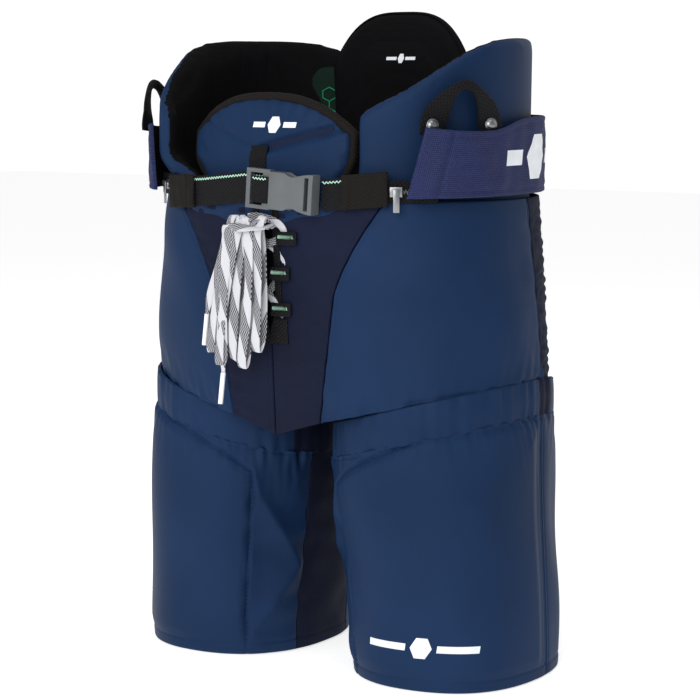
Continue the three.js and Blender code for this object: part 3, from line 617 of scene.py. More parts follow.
acetal = plasticMaterial("greyAcetal", "#54585b", 0.36, 0.2, spec=0.4)
clearTip = plasticMaterial("clearAcetate", "#e6e8ea", 0.18, 0.05, coat=0.5)
printWhite = plasticMaterial("whiteTransferPrint", "#dde1e6", 0.5, 0.15, spec=0.2)
nickel = metalMaterial("nickelPlate", "#8f9194", 0.26)
laceCloth = laceMaterial("wovenLace")
print("materials ready")

# the lace: its criss-cross in the fly, and the two free ends
hank = {"x": -9, "z": 381, "y": -124.33, "tilt": 7}
laceRoute = [[15, 300], [9, 306], [4, 313], [-5, 324], [-13, 334], [-17, 341], [-12, 349], [0, 357],
             [13, 362], [18, 367], [15, 373], [8, 377], [0, 379], [-8, 380], [-15, 379]]


def inHank(points):
    # hank coordinates, across, up and out, to the row frame
    p, turn = np.asarray(points, float), math.radians(hank["tilt"])
    x = hank["x"] + p[:, 0] * math.cos(turn) + p[:, 1] * math.sin(turn)
    z = hank["z"] - p[:, 0] * math.sin(turn) + p[:, 1] * math.cos(turn)
    return np.stack([x, hank["y"] - p[:, 2], z], -1)


def layLace(name, points, width, twist, seed, tipLength):
    # a flat lace along its path, lying the way a band bends: its face turns with each fold
    path = resample(inHank(points), 2.0)
    tangent = unit(np.gradient(path, axis=0))
    across = np.array([math.cos(math.radians(hank["tilt"])), 0, -math.sin(math.radians(hank["tilt"]))])
    normal = unit(np.cross(tangent, across))
    run = np.arange(len(path)) * 2.0
    angle = np.radians(twist) * ripple(run, 0 * run, 95, seed)
    side = unit(np.cross(tangent, normal))
    normal = normal * np.cos(angle)[:, None] + side * np.sin(angle)[:, None]
    taper = 1 - 0.55 * smooth((run - run[-1] + tipLength) / tipLength)
    piece = ribbonPiece(name, path, normal, width, lace["thick"], "pants", [laceCloth], 12, 3.0, taper)
    return piece, path * 0.001


# each fold of the hank: across at its top and bottom, bottom height, and depth in front and behind
hankFolds = [(12, 21, -108, 8.4, 1.6), (6, 10.5, -123, 10.6, 3.9), (0.5, -1, -119, 8.2, 1.8),
             (-5, -12.5, -125, 10.8, 4.1), (-10.5, -23.5, -117, 8.6, 2.0)]
hankPath = [(16, -3, 0.6), (15, 0.5, 3.6)]
for top, bottom, low, front, behind in hankFolds:
    bow = 2.2 if bottom > 0 else -2.2
    third = mix(top, bottom, 0.34) + bow
    hankPath += [(top, -12, front), (third, -44, front), (mix(top, bottom, 0.72) + bow, -78, front),
                 (bottom, low + 10, front - 0.3), (bottom, low, (front + behind) / 2),
                 (bottom + 0.6, low + 10, behind + 0.3), (mix(top, bottom, 0.7) + bow, -76, behind),
                 (third, -42, behind), (top - 1.6, -13, behind),
                 (top - 2.6, -2.2, (front + behind) / 2)]
hankPath[-1] = (-13, -2, 7)
hankPath += [(-13.5, -14, 11.6), (-13, -45, 12.2), (-12, -80, 11.4), (-10.6, -112, 8.6), (-10, -131.2, 6)]
freeLace, freePath = layLace("lace_hank_folds", hankPath, lace["width"], 26, 4, 16)
tiePath = [(22, -5, -1.5), (18, -7, 4), (12, -8.5, 11.4), (2, -9.5, 13.6), (-9, -10.5, 13.8),
           (-16.5, -13, 10.5), (-20, -24, 5.5), (-25, -45, 5), (-30, -66, 5.4), (-32, -86.4, 6)]
tieLace, tiePathM = layLace("lace_tie_end", tiePath, lace["width"] * 0.92, 14, 9, 14)


def laceRows(name, route, standOff, rise):
    route = np.asarray(route, float)
    steps = np.maximum(0, np.arange(len(route)) - len(route) + 5) * rise
    p = onFront(route[:, 0], route[:, 1], standOff)
    p[:, 1] -= steps
    path = resample(p, 1.6)
    return ribbonPiece(name, path, shellNormal(path), lace["rowWidth"], 1.5, "pants", [laceCloth], 10, 3.0)


rows = laceRows("lace_rows", laceRoute, 1.3, 0.6)
crossing = laceRows("lace_rows_crossing", [[-x, z + 1] for x, z in laceRoute[:10]], -0.6, 0)
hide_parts("lace_lacing")
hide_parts("lace_hank")
laceLength, tieLength = float(runOf(freePath)[-1]), float(runOf(tiePathM)[-1])
print("lace laid, free lengths", round(laceLength, 3), round(tieLength, 3))

# hip shell panels
shellPanels = {"puff": 3.2, "puffReach": 24, "slow": 1.5, "slowScale": 95, "pucker": 2.3, "puckerWave": 13,
               "puckerReach": 13, "wall": 3.6}


def shellGrid(side, edgeA, edgeB, nu, nv, low=None, high=None, offset=0.0):
    # between two edge angles, from the bend seam or its own bottom up to the waist
    across, up = grid(nu, nv)
    middle = (seam["outerZ"] + waist["z"]) / 2
    guess = mix(edgeA(middle), edgeB(middle), across)
    bottom = seamZ(onShell(guess, seam["outerZ"])[..., 0]) + seam["gap"] / 2 if low is None else low
    z = mix(bottom, waist["z"] if high is None else high, up)
    return onShell(mirrored(side, mix(edgeA(z), edgeB(z), across)), z, offset)


def puckers(f, key, along, amount, wave, reach, seed, endReach=55):
    # short folds that fade away from a gathered seam, and are strongest near its two ends
    ends = 0.25 + np.exp(-f["left" if along == "u" else "low"] / endReach)
    ends = ends + np.exp(-f["right" if along == "u" else "high"] / endReach)
    folds = ripple(f[along], f[key] * 0.35, wave, seed)
    return amount * np.clip(ends, 0, 1) * np.exp(-f[key] / reach) * folds


def softLift(f, seed, puff=None, topFade=26):
    puff = shellPanels["puff"] if puff is None else puff
    near = edgeDistance(f, "left", "right", "low")
    swell = puff * (1 - np.exp(-near / shellPanels["puffReach"]))
    slow = shellPanels["slow"] * ripple(f["u"], f["v"], shellPanels["slowScale"], seed)
    fade = 1 - np.exp(-f["high"] / topFade)
    return (swell + slow * smooth(near / 30)) * fade


def topStitch(f, key, inset=3.4, depth=0.45, width=1.1):
    # the small furrow that a line of stitching pulls into padded cloth
    return -depth * np.exp(-((f[key] - inset) / width) ** 2)


for name, side in sides:
    seed = 11 if side > 0 else 23

    def thighLift(f, seed=seed):
        lift = softLift(f, seed)
        lift = lift + puckers(f, "low", "u", shellPanels["pucker"], shellPanels["puckerWave"],
                              shellPanels["puckerReach"], seed + 1)
        lift = lift + puckers(f, "left", "v", 0.7, 17, 9, seed + 2)
        lift = lift + 0.8 * np.exp(-f["right"] / 14) * ripple(f["v"], f["u"] * 0.2, 21, seed + 3)
        return lift + topStitch(f, "low") + topStitch(f, "left") + topStitch(f, "right")

    p = shellGrid(side, lambda z: frontAngle(groinX(z), z) + 0.1, lambda z: 8.0 - 0.1, 130, 110)
    thigh = fabricPanel(f"{name}_thigh_cloth_upper", p, "pants", [nylon, lining], shellPanels["wall"],
                        thighLift)
    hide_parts(f"{name}_thigh_panel_upper")

    def groinLift(f, seed=seed):
        lift = 0.5 * softLift(f, seed + 5, 1.4)
        lift = lift + 0.8 * np.exp(-f["right"] / 22) * ripple(f["v"], f["u"] * 0.8, 19, seed + 6)
        return lift + topStitch(f, "left", 4.5) + topStitch(f, "right", 3)

    p = shellGrid(side, lambda z: frontAngle(flyEdgeX(z), z), lambda z: frontAngle(groinX(z), z) - 0.1, 60, 110)
    groinPanel = fabricPanel(f"{name}_groin_cloth", p, "pants", [stretch, lining], 3.2, groinLift)
    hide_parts(f"{name}_groin_panel")

    def stripLift(f, seed=seed):
        # the stretch strip folds into level creases
        crease = np.abs(ripple(f["v"], f["u"] * 0.35, 17, seed + 8)) - 0.4
        inside = smooth(np.minimum(f["left"], f["right"]) / 10)
        return (-0.6 + 1.5 * crease * inside) * (1 - np.exp(-f["high"] / 20))

    p = shellGrid(side, lambda z: 8.1, lambda z: 26.9, 36, 120)
    strip = fabricPanel(f"{name}_side_stretch", p, "pants", [stretch, lining], 3.2, stripLift)
    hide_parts(f"{name}_side_strip")

    def seatLift(f, seed=seed):
        lift = softLift(f, seed + 12, 3.6)
        lift = lift + puckers(f, "low", "u", 1.4, 15, 14, seed + 13)
        lift = lift + 0.9 * np.exp(-f["left"] / 15) * ripple(f["v"], f["u"] * 0.2, 23, seed + 14)
        return lift + topStitch(f, "low") + topStitch(f, "left") + topStitch(f, "right")

    p = shellGrid(side, lambda z: 27.1, lambda z: 89.9, 120, 100)
    seatPanel = fabricPanel(f"{name}_seat_cloth", p, "pants", [nylon, lining], shellPanels["wall"], seatLift)
    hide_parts(f"{name}_seat_panel")

# a thin lining inside the shell, so that no seam shows light through
across, up = grid(160, 12, 0)
angle = across * 360
bottom = seamZ(onShell(angle, seam["outerZ"])[..., 0]) + seam["gap"] / 2 + 3
z = mix(bottom, waist["z"] - 3, up)
hipLining = skinPiece("hip_lining", onShell(angle, z, -4.1), onShell(angle, z, -4.8), "pants", [lining],
                      closed=True)
print("hip shell sewn")

# legs
legCloth = {"puff": 2.6, "slow": 1.6, "slowScale": 105, "guardRaise": 2.2, "hem": 10, "wall": 2.7}
legEdges = {"front": -155, "side": 12, "back": 148}
# sideways and downwards from the pocket's inner corner: start, end, height and width of each crease
pocketSeam = {"corner": 124, "sweepFrom": 44, "sink": 31, "creases": (
    ((0, 2), (-44, 66), 3.4, 7), ((-44, 72), (-6, 132), 2.6, 8), ((-10, 40), (-14, 110), -1.6, 12))}
seamed = {}


def bendLine(side, angle):
    return seamZ(onLeg(side, angle, seam["innerZ"])[..., 0])


def legGrid(side, start, stop, nu, nv, low=0.0, drop=13.0, offset=0.0):
    across, up = grid(nu, nv)
    angle = mix(start, stop, across)
    z = mix(low, bendLine(side, angle) - drop, up)
    return onLeg(side, angle, z, offset), angle


def legCentre(side):
    return (side * 101, depthShift, 0)


def hemFold(f):
    # a hem turned up and sewn a little above the edge
    above = f["low"] - legCloth["hem"]
    return -0.5 * np.exp(-(above / 1.2) ** 2) + 0.35 * smooth(-above / 2)


def hemmed(f, lift):
    # the relief fades towards the hem and takes its fold
    return lift * (1 - 0.65 * np.exp(-f["low"] / 9)) + hemFold(f)


for name, side in sides:
    seed = 41 if side > 0 else 57
    rideOn = f"{name}_leg"

    p, angle = legGrid(side, legEdges["front"] + 0.1, legEdges["side"] - 0.1, 230, 140)
    # the pocket's seam: a quarter ellipse that sinks towards its inner corner, then a line down to the hem
    sweep = np.clip((-angle - pocketSeam["sweepFrom"]) / (pocketSeam["corner"] - pocketSeam["sweepFrom"]), 0, 1)
    sink = pocketSeam["sink"] * (1 - np.sqrt(1 - sweep ** 2))

    def lowerLift(f, angle=angle, sink=sink, seed=seed):
        # a stiff guard fills the pocket; the cloth is slack beside it and gathered at the top
        beside = (angle + pocketSeam["corner"] - 3 * f["v"] / 180) * 1.55
        above = f["high"] - sink
        pocket = smooth(beside / 7) * smooth(above / 9) * smooth((legEdges["side"] - 6 - angle) / 8)
        pocket = pocket * smooth((f["low"] - 6) / 14)
        near = edgeDistance(f, "left", "right", "high")
        swell = legCloth["puff"] * (1 - np.exp(-near / 22))
        slow = legCloth["slow"] * ripple(f["u"], f["v"] * 0.7, legCloth["slowScale"], seed) * smooth(near / 30)
        sideLine = np.exp(-(beside / 1.5) ** 2) * (above > -2)
        topLine = np.exp(-(above / 1.5) ** 2) * (beside > -2) * smooth(sweep / 0.25)
        line = -1.7 * np.maximum(sideLine, topLine)
        gather = 0.55 * np.exp(-np.abs(beside) / 4) * (above > 0) * np.sin(f["v"] * 1.25)
        loose = 1 - smooth(beside / 6) * smooth(above / 6)
        slack = 1.2 * loose * ripple(f["v"], f["u"] * 0.6, 34, seed + 1)
        crease = np.zeros_like(beside)
        for start, end, height, width in pocketSeam["creases"]:
            gap = segmentDistance(beside, above, start, end)
            crease = crease + height * np.exp(-(gap / width) ** 1.6) * smooth(-beside / 6)
        lift = legCloth["guardRaise"] * pocket + swell + slow + line + gather + slack + crease
        lift = lift + puckers(f, "high", "u", 2.1, 12, 15, seed + 2)
        return hemmed(f, lift) + topStitch(f, "high") + topStitch(f, "right")

    lower = fabricPanel(f"{name}_thigh_cloth_lower", p, rideOn, [nylon, lining], legCloth["wall"], lowerLift,
                        centre=legCentre(side), roll=1.5)
    seamed[name] = lower
    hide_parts(f"{name}_thigh_panel_lower")

    p, angle = legGrid(side, legEdges["side"] + 0.1, legEdges["back"] - 0.1, 130, 100)

    def backLift(f, seed=seed):
        near = edgeDistance(f, "left", "right", "high")
        swell = 1.8 * (1 - np.exp(-near / 20))
        slow = 2.2 * ripple(f["u"], f["v"] * 0.6, 80, seed + 4) * smooth(near / 30)
        lift = swell + slow + puckers(f, "high", "u", 1.6, 14, 15, seed + 5)
        return hemmed(f, lift) + topStitch(f, "high") + topStitch(f, "left")

    back = fabricPanel(f"{name}_back_leg_cloth", p, rideOn, [nylon, lining], legCloth["wall"], backLift,
                       centre=legCentre(side), roll=1.5)
    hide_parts(f"{name}_back_leg_panel")

    p, angle = legGrid(side, legEdges["back"] + 0.1, 360 + legEdges["front"] - 0.1, 70, 90)

    def innerLift(f, seed=seed):
        near = np.minimum(f["left"], f["right"])
        fold = 1.3 * ripple(f["v"], f["u"] * 0.5, 30, seed + 7) * smooth(near / 14)
        return (fold - 0.4) * (1 - 0.6 * np.exp(-f["low"] / 9)) + hemFold(f)

    inner = fabricPanel(f"{name}_inner_thigh_cloth", p, rideOn, [stretch, lining], legCloth["wall"], innerLift,
                        centre=legCentre(side), roll=1.2)
    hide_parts(f"{name}_inner_thigh_panel")

    # the guard and its foam in one lined pocket
    across, up = grid(90, 60)
    angle = mix(-127, -2, across)
    z = mix(16, bendLine(side, angle) - 34, up)
    middle = onLeg(side, angle, z, -10.6)
    f = surfaceFacts(middle, np.array(legCentre(side), float))
    near = edgeDistance(f)
    quilt = 1 - 0.22 * np.exp(-((((f["u"] % 46) - 23) / 2.2) ** 2))
    half = 5.9 * np.sqrt(np.clip(1 - (1 - np.clip(near / 9, 0, 1)) ** 2, 0.02, 1)) * quilt
    pocket = skinPiece(f"{name}_thigh_guard_pocket", middle + f["normal"] * np.minimum(half, 5.9)[..., None],
                       middle - f["normal"] * half[..., None], rideOn, [lining],
                       f["uv"])
    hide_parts(f"{name}_thigh_guard", f"{name}_thigh_foam")

    # the soft band between leg and hips, gathered at both of its seams
    across, up = np.meshgrid(np.linspace(0, 1, 361), spread(26, 0.3))
    angle = across * 360
    half = seam["gap"] / 2 + 2.6
    z = bendLine(side, angle) + mix(-half, half, up)
    p = onLeg(side, angle, z, -0.7)
    # ripples must close round the ring, so they run on whole numbers of waves
    turns = np.radians(angle)
    folds = 0.5 * np.sin(29 * turns + 2.2 * np.sin(3 * turns)) + 0.3 * np.sin(13 * turns + 2.0 * up)
    folds = folds + 0.35 * np.sin(47 * turns + 1.4 * np.sin(5 * turns) + 1)
    edge = np.minimum(up, 1 - up) * 2
    lift = 0.9 * np.sin(math.pi * np.clip(up, 0, 1)) + 0.5 + 1.3 * folds * (0.35 + 0.65 * (1 - edge))
    flex = fabricPanel(f"{name}_flex_cloth", p, None, [nylon, lining, stretch], 2.2, lambda f, lift=lift: lift,
                       0.9, legCentre(side), True)
    # the stretch panels of the leg and the hip go on through the band
    index = np.zeros(len(flex.data.polygons), np.int32)
    flex.data.polygons.foreach_get("material_index", index)
    centres = faceVectors(flex.data, "center") * 1000
    turned = np.degrees(np.arctan2(centres[:, 1] - depthShift, side * centres[:, 0] - 100)) % 360
    dark = ((turned > 10) & (turned < 30)) | ((turned > 148) & (turned < 215))
    index[(index == 0) & dark] = 2
    flex.data.polygons.foreach_set("material_index", index)
    middle = np.array([side * 100, depthShift, seamZ(100)]) / 1000
    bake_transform(flex)
    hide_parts(f"{name}_flex_band")

    across, up = np.meshgrid(np.linspace(0, 1, 121), np.linspace(0, 1, 9))
    angle = across * 360
    z = mix(2.5, bendLine(side, angle) - 15, up)
    legLining = skinPiece(f"{name}_leg_lining", onLeg(side, angle, z, -2.9), onLeg(side, angle, z, -3.5),
                          rideOn, [lining], closed=True)

# the crotch gusset closes the middle between the legs
across, up = grid(24, 90)
x = mix(-26, 26, across)
y = mix(-1, 1, up) * (seat["halfDepth"] - 6.2) + depthShift
top = seamZ(26) + 14.2 + 12 * (2 * up - 1) ** 2 + 3.5
p = np.stack([x, y, top], -1)
f = surfaceFacts(p)
fold = 0.8 * ripple(f["v"], f["u"] * 0.4, 26, 91)
gusset = skinPiece("crotch_gusset_cloth", p + 0.4 * fold[..., None] * upright,
                   p - (3.4 - fold)[..., None] * upright, "pants", [stretch], f["uv"])
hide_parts("crotch_gusset")
print("legs sewn")

# fly
flyParts = {"tabWidth": 18, "tabHeight": 11, "tabThick": 2.4, "topZ": 363, "pitch": 29}
across, up = grid(50, 60)
x, z = mix(-34, 34, across), mix(fly["bottomZ"], waist["z"] - 26, up)
p = onFront(x, z, -5.3)


def tongueLift(f):
    return 0.4 - 0.4 * np.exp(-f["left"] / 8) - 0.3 * np.abs(np.sin(f["v"] / 6))


tongue = fabricPanel("fly_tongue_cloth", p, "pants", [lining], 3.2, tongueLift)
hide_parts("fly_tongue")

for name, side in sides:
    for row in range(3):
        count = 18
        start = 5 + (8 if row == 0 else 0)
        x = np.linspace(start - 1.5, start - 1.5 + flyParts["tabWidth"], count) * side
        path = onFront(x, np.full(count, flyParts["topZ"] - row * flyParts["pitch"]), 4.1)
        dip = np.abs(np.linspace(-1, 1, count)) ** 3 * 1.9
        path = path - shellNormal(path) * dip[:, None]
        tab = ribbonPiece(f"{name}_lace_tab_{row + 1}", path, shellNormal(path), flyParts["tabHeight"],
                          flyParts["tabThick"], "pants", [webbing], power=4.0)
        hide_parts(f"{name}_lace_loop_{row + 1}")
        line = resample(path[2:-2] + shellNormal(path[2:-2]) * 1.1 + upright * 1.2, 0.45)
        wiggle = line + upright * 1.25 * np.where(np.arange(len(line)) % 2, 1, -1)[:, None]
        thread = ribbonPiece(f"{name}_tab_thread_{row + 1}", wiggle, shellNormal(wiggle), 0.95, 0.8, "pants",
                             [mintThread], 6, 2.0)
    # a folded facing down each edge of the fly
    z = np.linspace(waist["z"] - 3, fly["bottomZ"] - 6, 60)
    x = (flyEdgeX(z) + 2.6) * side
    path = onFront(x, z, 0.55)
    facing = ribbonPiece(f"{name}_fly_facing", path, shellNormal(path), 6.5, 1.6, "pants", [webbing], 10, 3.4)
x = np.full(14, 12.0)
z = np.linspace(297, 277, 14)
path = onFront(x, z, 1.3)
flyTab = ribbonPiece("fly_bottom_tab", path, shellNormal(path), 12, 1.8, "pants", [webbing], 10, 4.0)

# the navy waist facing turned over the top of the stretch panels, with slack folds
across, up = grid(110, 20)
x = mix(-99, 66, across)
depth = 4 + 15 * (1 - ((x + 14) / 86) ** 2).clip(0, 1) + 1.6 * np.sin(x / 7)
z = mix(waist["z"] - 1 - depth, waist["z"] - 0.5, up)
facing = fabricPanel("waist_facing", onFront(x, z, 0.5), "pants", [nylon], 1.0,
                     lambda f: 0.6 * ripple(f["u"], f["v"] * 2, 26, 131) * smooth(f["low"] / 4), roll=0.6)
print("fly made")

# pads
padSim = {"voxel": 0.0046, "pressure": 4.0, "frames": 20, "cap": 0.005, "hipCap": 0.003, "pinReach": 0.006}
hipPad = {"frontX": 80, "end": 58, "bottomZ": 300, "frontTopZ": 467, "topZ": 524, "riseEnd": -4,
          "rearRound": 30, "rearDrop": 24, "offset": -6.4, "thick": 14.2, "round": 8.5}
splay = {"left": 3, "right": 38, "start": 18, "low": 392, "high": 428}
bellyPad = {"x": -10, "lowHalf": 60, "half": 79, "leftExtra": 11, "thick": 15, "bottomZ": 372, "sideTopZ": 446,
            "topZ": 475, "lean": 6, "offset": -11.1}
backPad = {"half": 72, "thick": 18, "bottomZ": 306, "topZ": 546, "shoulder": 44, "lean": 8, "offset": -23.5}


def pillow(near, full, reach):
    # half thickness that grows from a rounded rim as a quarter ellipse
    return full / 2 * np.sqrt(np.clip(1 - (1 - np.clip(near / reach, 0, 1)) ** 2, 0.012, 1))


def padGrids(p, full, reach, crownFront=0.0, crownBack=0.0):
    # the two faces of a closed pad whose outer face is p
    f = surfaceFacts(p, np.zeros(3))
    near = edgeDistance(f)
    half = pillow(near, full, reach)
    crown = smooth(near / 45)
    middle = p - f["normal"] * full / 2
    outer = middle + f["normal"] * (half + crownFront * crown)[..., None]
    inner = middle - f["normal"] * (half + crownBack * crown)[..., None]
    return outer, inner, middle, f


def meshPoints(mesh):
    co = np.empty(len(mesh.vertices) * 3)
    mesh.vertices.foreach_get("co", co)
    return co.reshape(-1, 3)


def bakeModifiers(piece):
    evaluated = piece.evaluated_get(bpy.context.evaluated_depsgraph_get())
    baked = bpy.data.meshes.new_from_object(evaluated)
    piece.modifiers.clear()
    piece.data = baked


def nearestTo(points, targets):
    # distance from each point to the nearest of the targets, a block at a time
    found = np.empty(len(points))
    for k in range(0, len(points), 4000):
        gap = points[k:k + 4000, None] - targets[None]
        found[k:k + 4000] = np.sqrt((gap ** 2).sum(-1)).min(1)
    return found


def inflate(piece, rim, cap, shift=None):
    # remeshed evenly, blown up as cloth with its rim held, limited, and smoothed by one subdivision
    remesh = piece.modifiers.new("even", "REMESH")
    remesh.mode = "VOXEL"
    remesh.voxel_size = padSim["voxel"]
    bakeModifiers(piece)
    start = meshPoints(piece.data)
    held = piece.vertex_groups.new(name="held")
    close = nearestTo(start, rim * 0.001) < padSim["pinReach"]
    held.add(np.nonzero(close)[0].tolist(), 1.0, "REPLACE")
    cloth = piece.modifiers.new("swell", "CLOTH")
    for key, value in {"quality": 6, "mass": 0.25, "tension_stiffness": 18, "compression_stiffness": 12,
                       "bending_stiffness": 0.8, "use_pressure": True, "vertex_group_mass": "held",
                       "uniform_pressure_force": padSim["pressure"]}.items():
        setattr(cloth.settings, key, value)
    cloth.settings.effector_weights.gravity = 0
    cloth.collision_settings.use_collision = False
    cloth.point_cache.frame_start = 1
    cloth.point_cache.frame_end = padSim["frames"]
    for step in range(1, padSim["frames"] + 1):
        bpy.context.scene.frame_set(step)
    evaluated = piece.evaluated_get(bpy.context.evaluated_depsgraph_get())
    swollen = np.empty(len(start) * 3)
    evaluated.data.vertices.foreach_get("co", swollen)
    move = swollen.reshape(-1, 3) - start
    far = np.linalg.norm(move, axis=1, keepdims=True)
    start = start + move * np.minimum(1, cap / np.maximum(far, 1e-9))
    piece.modifiers.clear()
    piece.vertex_groups.clear()
    piece.data.vertices.foreach_set("co", start.ravel())
    bpy.context.scene.frame_set(1)
    smoother = piece.modifiers.new("smooth", "SUBSURF")
    smoother.levels = smoother.render_levels = 1
    bakeModifiers(piece)
    if shift is not None:
        p = meshPoints(piece.data)
        piece.data.vertices.foreach_set("co", (p + shift(p * 1000) * 0.001).ravel())
    piece.data.polygons.foreach_set("use_smooth", [True] * len(piece.data.polygons))
    piece.data.update()
    return piece


def dressPad(piece, materials, isOuter):
    # the outer cloth on the faces that look outwards, the lining on the rest
    mesh = piece.data
    mesh.materials.clear()
    for material in materials:
        mesh.materials.append(material)
    outer = isOuter(faceVectors(mesh, "center") * 1000, faceVectors(mesh, "normal"))
    mesh.polygons.foreach_set("material_index", np.where(outer, 0, 1).astype(np.int32))


def rimPath(middle, fromRow=0):
    # up the first column, across the top row and down the last column of a pad's middle surface
    low = int(middle.shape[0] * fromRow)
    return np.concatenate([middle[low:-1, 0], middle[-1, :-1], middle[low:, -1][::-1]])


hipStart = -float(frontAngle(hipPad["frontX"], waist["z"]))


def hipTop(angle):
    # low at the front corner, climbing to a level side and back
    t = (angle + hipStart) / (hipStart + hipPad["riseEnd"])
    rise = mix(np.clip(t, 0, 1), smooth(t), 0.6)
    rear = np.clip((angle - hipPad["end"] + hipPad["rearRound"]) / hipPad["rearRound"], 0, 1)
    corner = np.clip((-angle - hipStart + 8) / 8, 0, 1)
    kink = 3.2 * np.exp(-((angle - hipPad["riseEnd"] + 2) / 9) ** 2)
    shoulder = hipPad["rearDrop"] * (1 - np.sqrt(1 - 0.98 * rear ** 2))
    return mix(hipPad["frontTopZ"], hipPad["topZ"], rise) - 6 * corner ** 2 - shoulder - kink


def hipGrid(name, side, nu, nv):
    across, up = grid(nu, nv)
    angle = mix(-hipStart, hipPad["end"], across)
    z = mix(hipPad["bottomZ"], hipTop(angle), up)
    p = onShell(mirrored(side, angle), z, hipPad["offset"])
    away = smooth((-angle - splay["start"]) / (hipStart - splay["start"]))
    p[..., 0] += side * splay[name] * away * smooth((z - splay["low"]) / (splay["high"] - splay["low"]))
    return p


for name, side in sides:
    p = hipGrid(name, side, 90, 100)
    outer, inner, middle, f = padGrids(p, hipPad["thick"], hipPad["round"])
    pad = skinPiece(f"{name}_hip_pad_cloth", outer, inner, None, [nylon])
    inflate(pad, rimPath(middle), padSim["hipCap"])
    dressPad(pad, [nylon, lining], lambda c, n: (shellNormal(c) * n).sum(-1) > 0.22)
    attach(pad, "pants")
    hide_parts(f"{name}_hip_pad", f"{name}_hip_guard")

# belly pad: arched, with a Y of sewn seams on its face
ySeams = {"junction": (-15, 433), "left": (-82, 455), "right": (60, 451), "foot": (-15, 371),
          "thinDepth": 2.4, "thinWidth": 2.0, "wideDepth": 4.2, "wideWidth": 4.6}


across, up = grid(100, 80)
arch = 1 - np.abs(2 * across - 1) ** 2.5
z = mix(bellyPad["bottomZ"], mix(bellyPad["sideTopZ"], bellyPad["topZ"], arch), up)
half = mix(bellyPad["lowHalf"], bellyPad["half"], smooth((z - bellyPad["bottomZ"] - 13) / 45))
extra = bellyPad["leftExtra"] * smooth((z - 404) / 26)
angle = frontAngle(bellyPad["x"] + mix(-half - extra, half, across), z, bellyPad["offset"])
p = onShell(angle, z, bellyPad["offset"])
p[..., 1] += bellyPad["lean"] * smooth((z - waist["z"]) / (bellyPad["topZ"] - waist["z"]))
outer, inner, middle, f = padGrids(p, bellyPad["thick"], 9, 1.0, 0.0)
belly = skinPiece("belly_pad_cloth", outer, inner, None, [nylon])


def bellySeams(p):
    thin = np.minimum(segmentDistance(p[:, 0], p[:, 2], ySeams["junction"], ySeams["left"]),
                      segmentDistance(p[:, 0], p[:, 2], ySeams["junction"], ySeams["foot"]))
    wide = segmentDistance(p[:, 0], p[:, 2], ySeams["junction"], ySeams["right"])
    dip = ySeams["thinDepth"] * np.exp(-(thin / ySeams["thinWidth"]) ** 2)
    dip = np.maximum(dip, ySeams["wideDepth"] * np.exp(-(wide / ySeams["wideWidth"]) ** 4))
    radial = np.hypot(p[:, 0] - bellyPad["x"], (p[:, 2] - 400) * 1.15)
    gather = 0.9 * np.exp(-np.abs(radial - 82) / 7) * np.sin(np.arctan2(p[:, 2] - 400, p[:, 0] + 10) * 34)
    outward = shellNormal(p)
    inFront = (p[:, 1] < -90) | (np.abs(p[:, 0]) > 55)
    return outward * (np.where(inFront, gather - dip, 0) * np.where(p[:, 1] < -86, 1, 0.4))[:, None]


inflate(belly, rimPath(middle), padSim["cap"], bellySeams)
dressPad(belly, [nylon, lining], lambda c, n: (shellNormal(c) * n).sum(-1) > -0.1)
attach(belly, "belly_guard")
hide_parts("belly_pad")


def landed(piece, spots, outward, rise):
    # points dropped onto a piece along their outward directions, and lifted by rise
    tree = BVHTree.FromPolygons([tuple(v) for v in meshPoints(piece.data)],
                                [tuple(poly.vertices) for poly in piece.data.polygons])
    found = []
    for spot, way in zip(spots, outward):
        hit = tree.ray_cast(Vector((spot + way * 25) / 1000), Vector(-way), 0.06)[0]
        found.append(spot if hit is None else np.array(hit) * 1000 + way * rise)
    return np.array(found)


# stitches down the inner edge of each guard pocket
for name, side in sides:
    z = np.linspace(14, 150, 90)
    angle = -pocketSeam["corner"] + 3 * z / 180
    spots = onLeg(side, angle, z)
    outward = unit(onLeg(side, angle, z, 10) - spots)
    path = landed(seamed[name], spots, outward, 0.15)
    row = stitchRow(f"{name}_pocket_stitches", path, outward, f"{name}_leg", navyThread, 3.6, 2.4, 0.34)

line = resample([[*ySeams["junction"]], [24, 442.6], [*ySeams["right"]]], 1.5)[5:-2]
spots = onFront(line[:, 0], line[:, 1], bellyPad["offset"])
path = landed(belly, spots, shellNormal(spots), 0.2)
seamTape = ribbonPiece("belly_seam_tape", path, shellNormal(path), 8, 1.2, "belly_guard", [navyEdge], 12, 3.0)
rim = resample(rimPath(middle, fromRow=0.12), 2.5)
wobble = 0.35 * ripple(np.arange(len(rim)) * 2.5, 0 * rim[:, 0], 14, 5)
binder = ribbonPiece("belly_pad_binding", rim, shellNormal(rim), 8.2 + wobble, 9.4 + wobble, "belly_guard",
                     [binding], 14, 2.0)
keeperStrap = {"x": -16.0, "low": 376, "high": 436, "width": 17, "thick": 1.6, "count": 40}
z = np.linspace(keeperStrap["low"], keeperStrap["high"], keeperStrap["count"])
x = np.full(z.shape, keeperStrap["x"])
front = onFront(x, z)[:, 1] - bellyPad["offset"]
front = front + bellyPad["lean"] * smooth((z - waist["z"]) / (bellyPad["topZ"] - waist["z"])) - 1.9
front = front + 2.6 * smooth((z - keeperStrap["high"] + 10) / 10)
path = np.stack([x + 0.6 * np.sin(z / 9), front, z], -1)
keeper = ribbonPiece("keeper_strap_webbing", path, np.tile([0, -1.0, 0.05], (len(z), 1)), keeperStrap["width"],
                     keeperStrap["thick"], "belly_guard", [webbing], power=5.0)
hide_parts("keeper_strap")

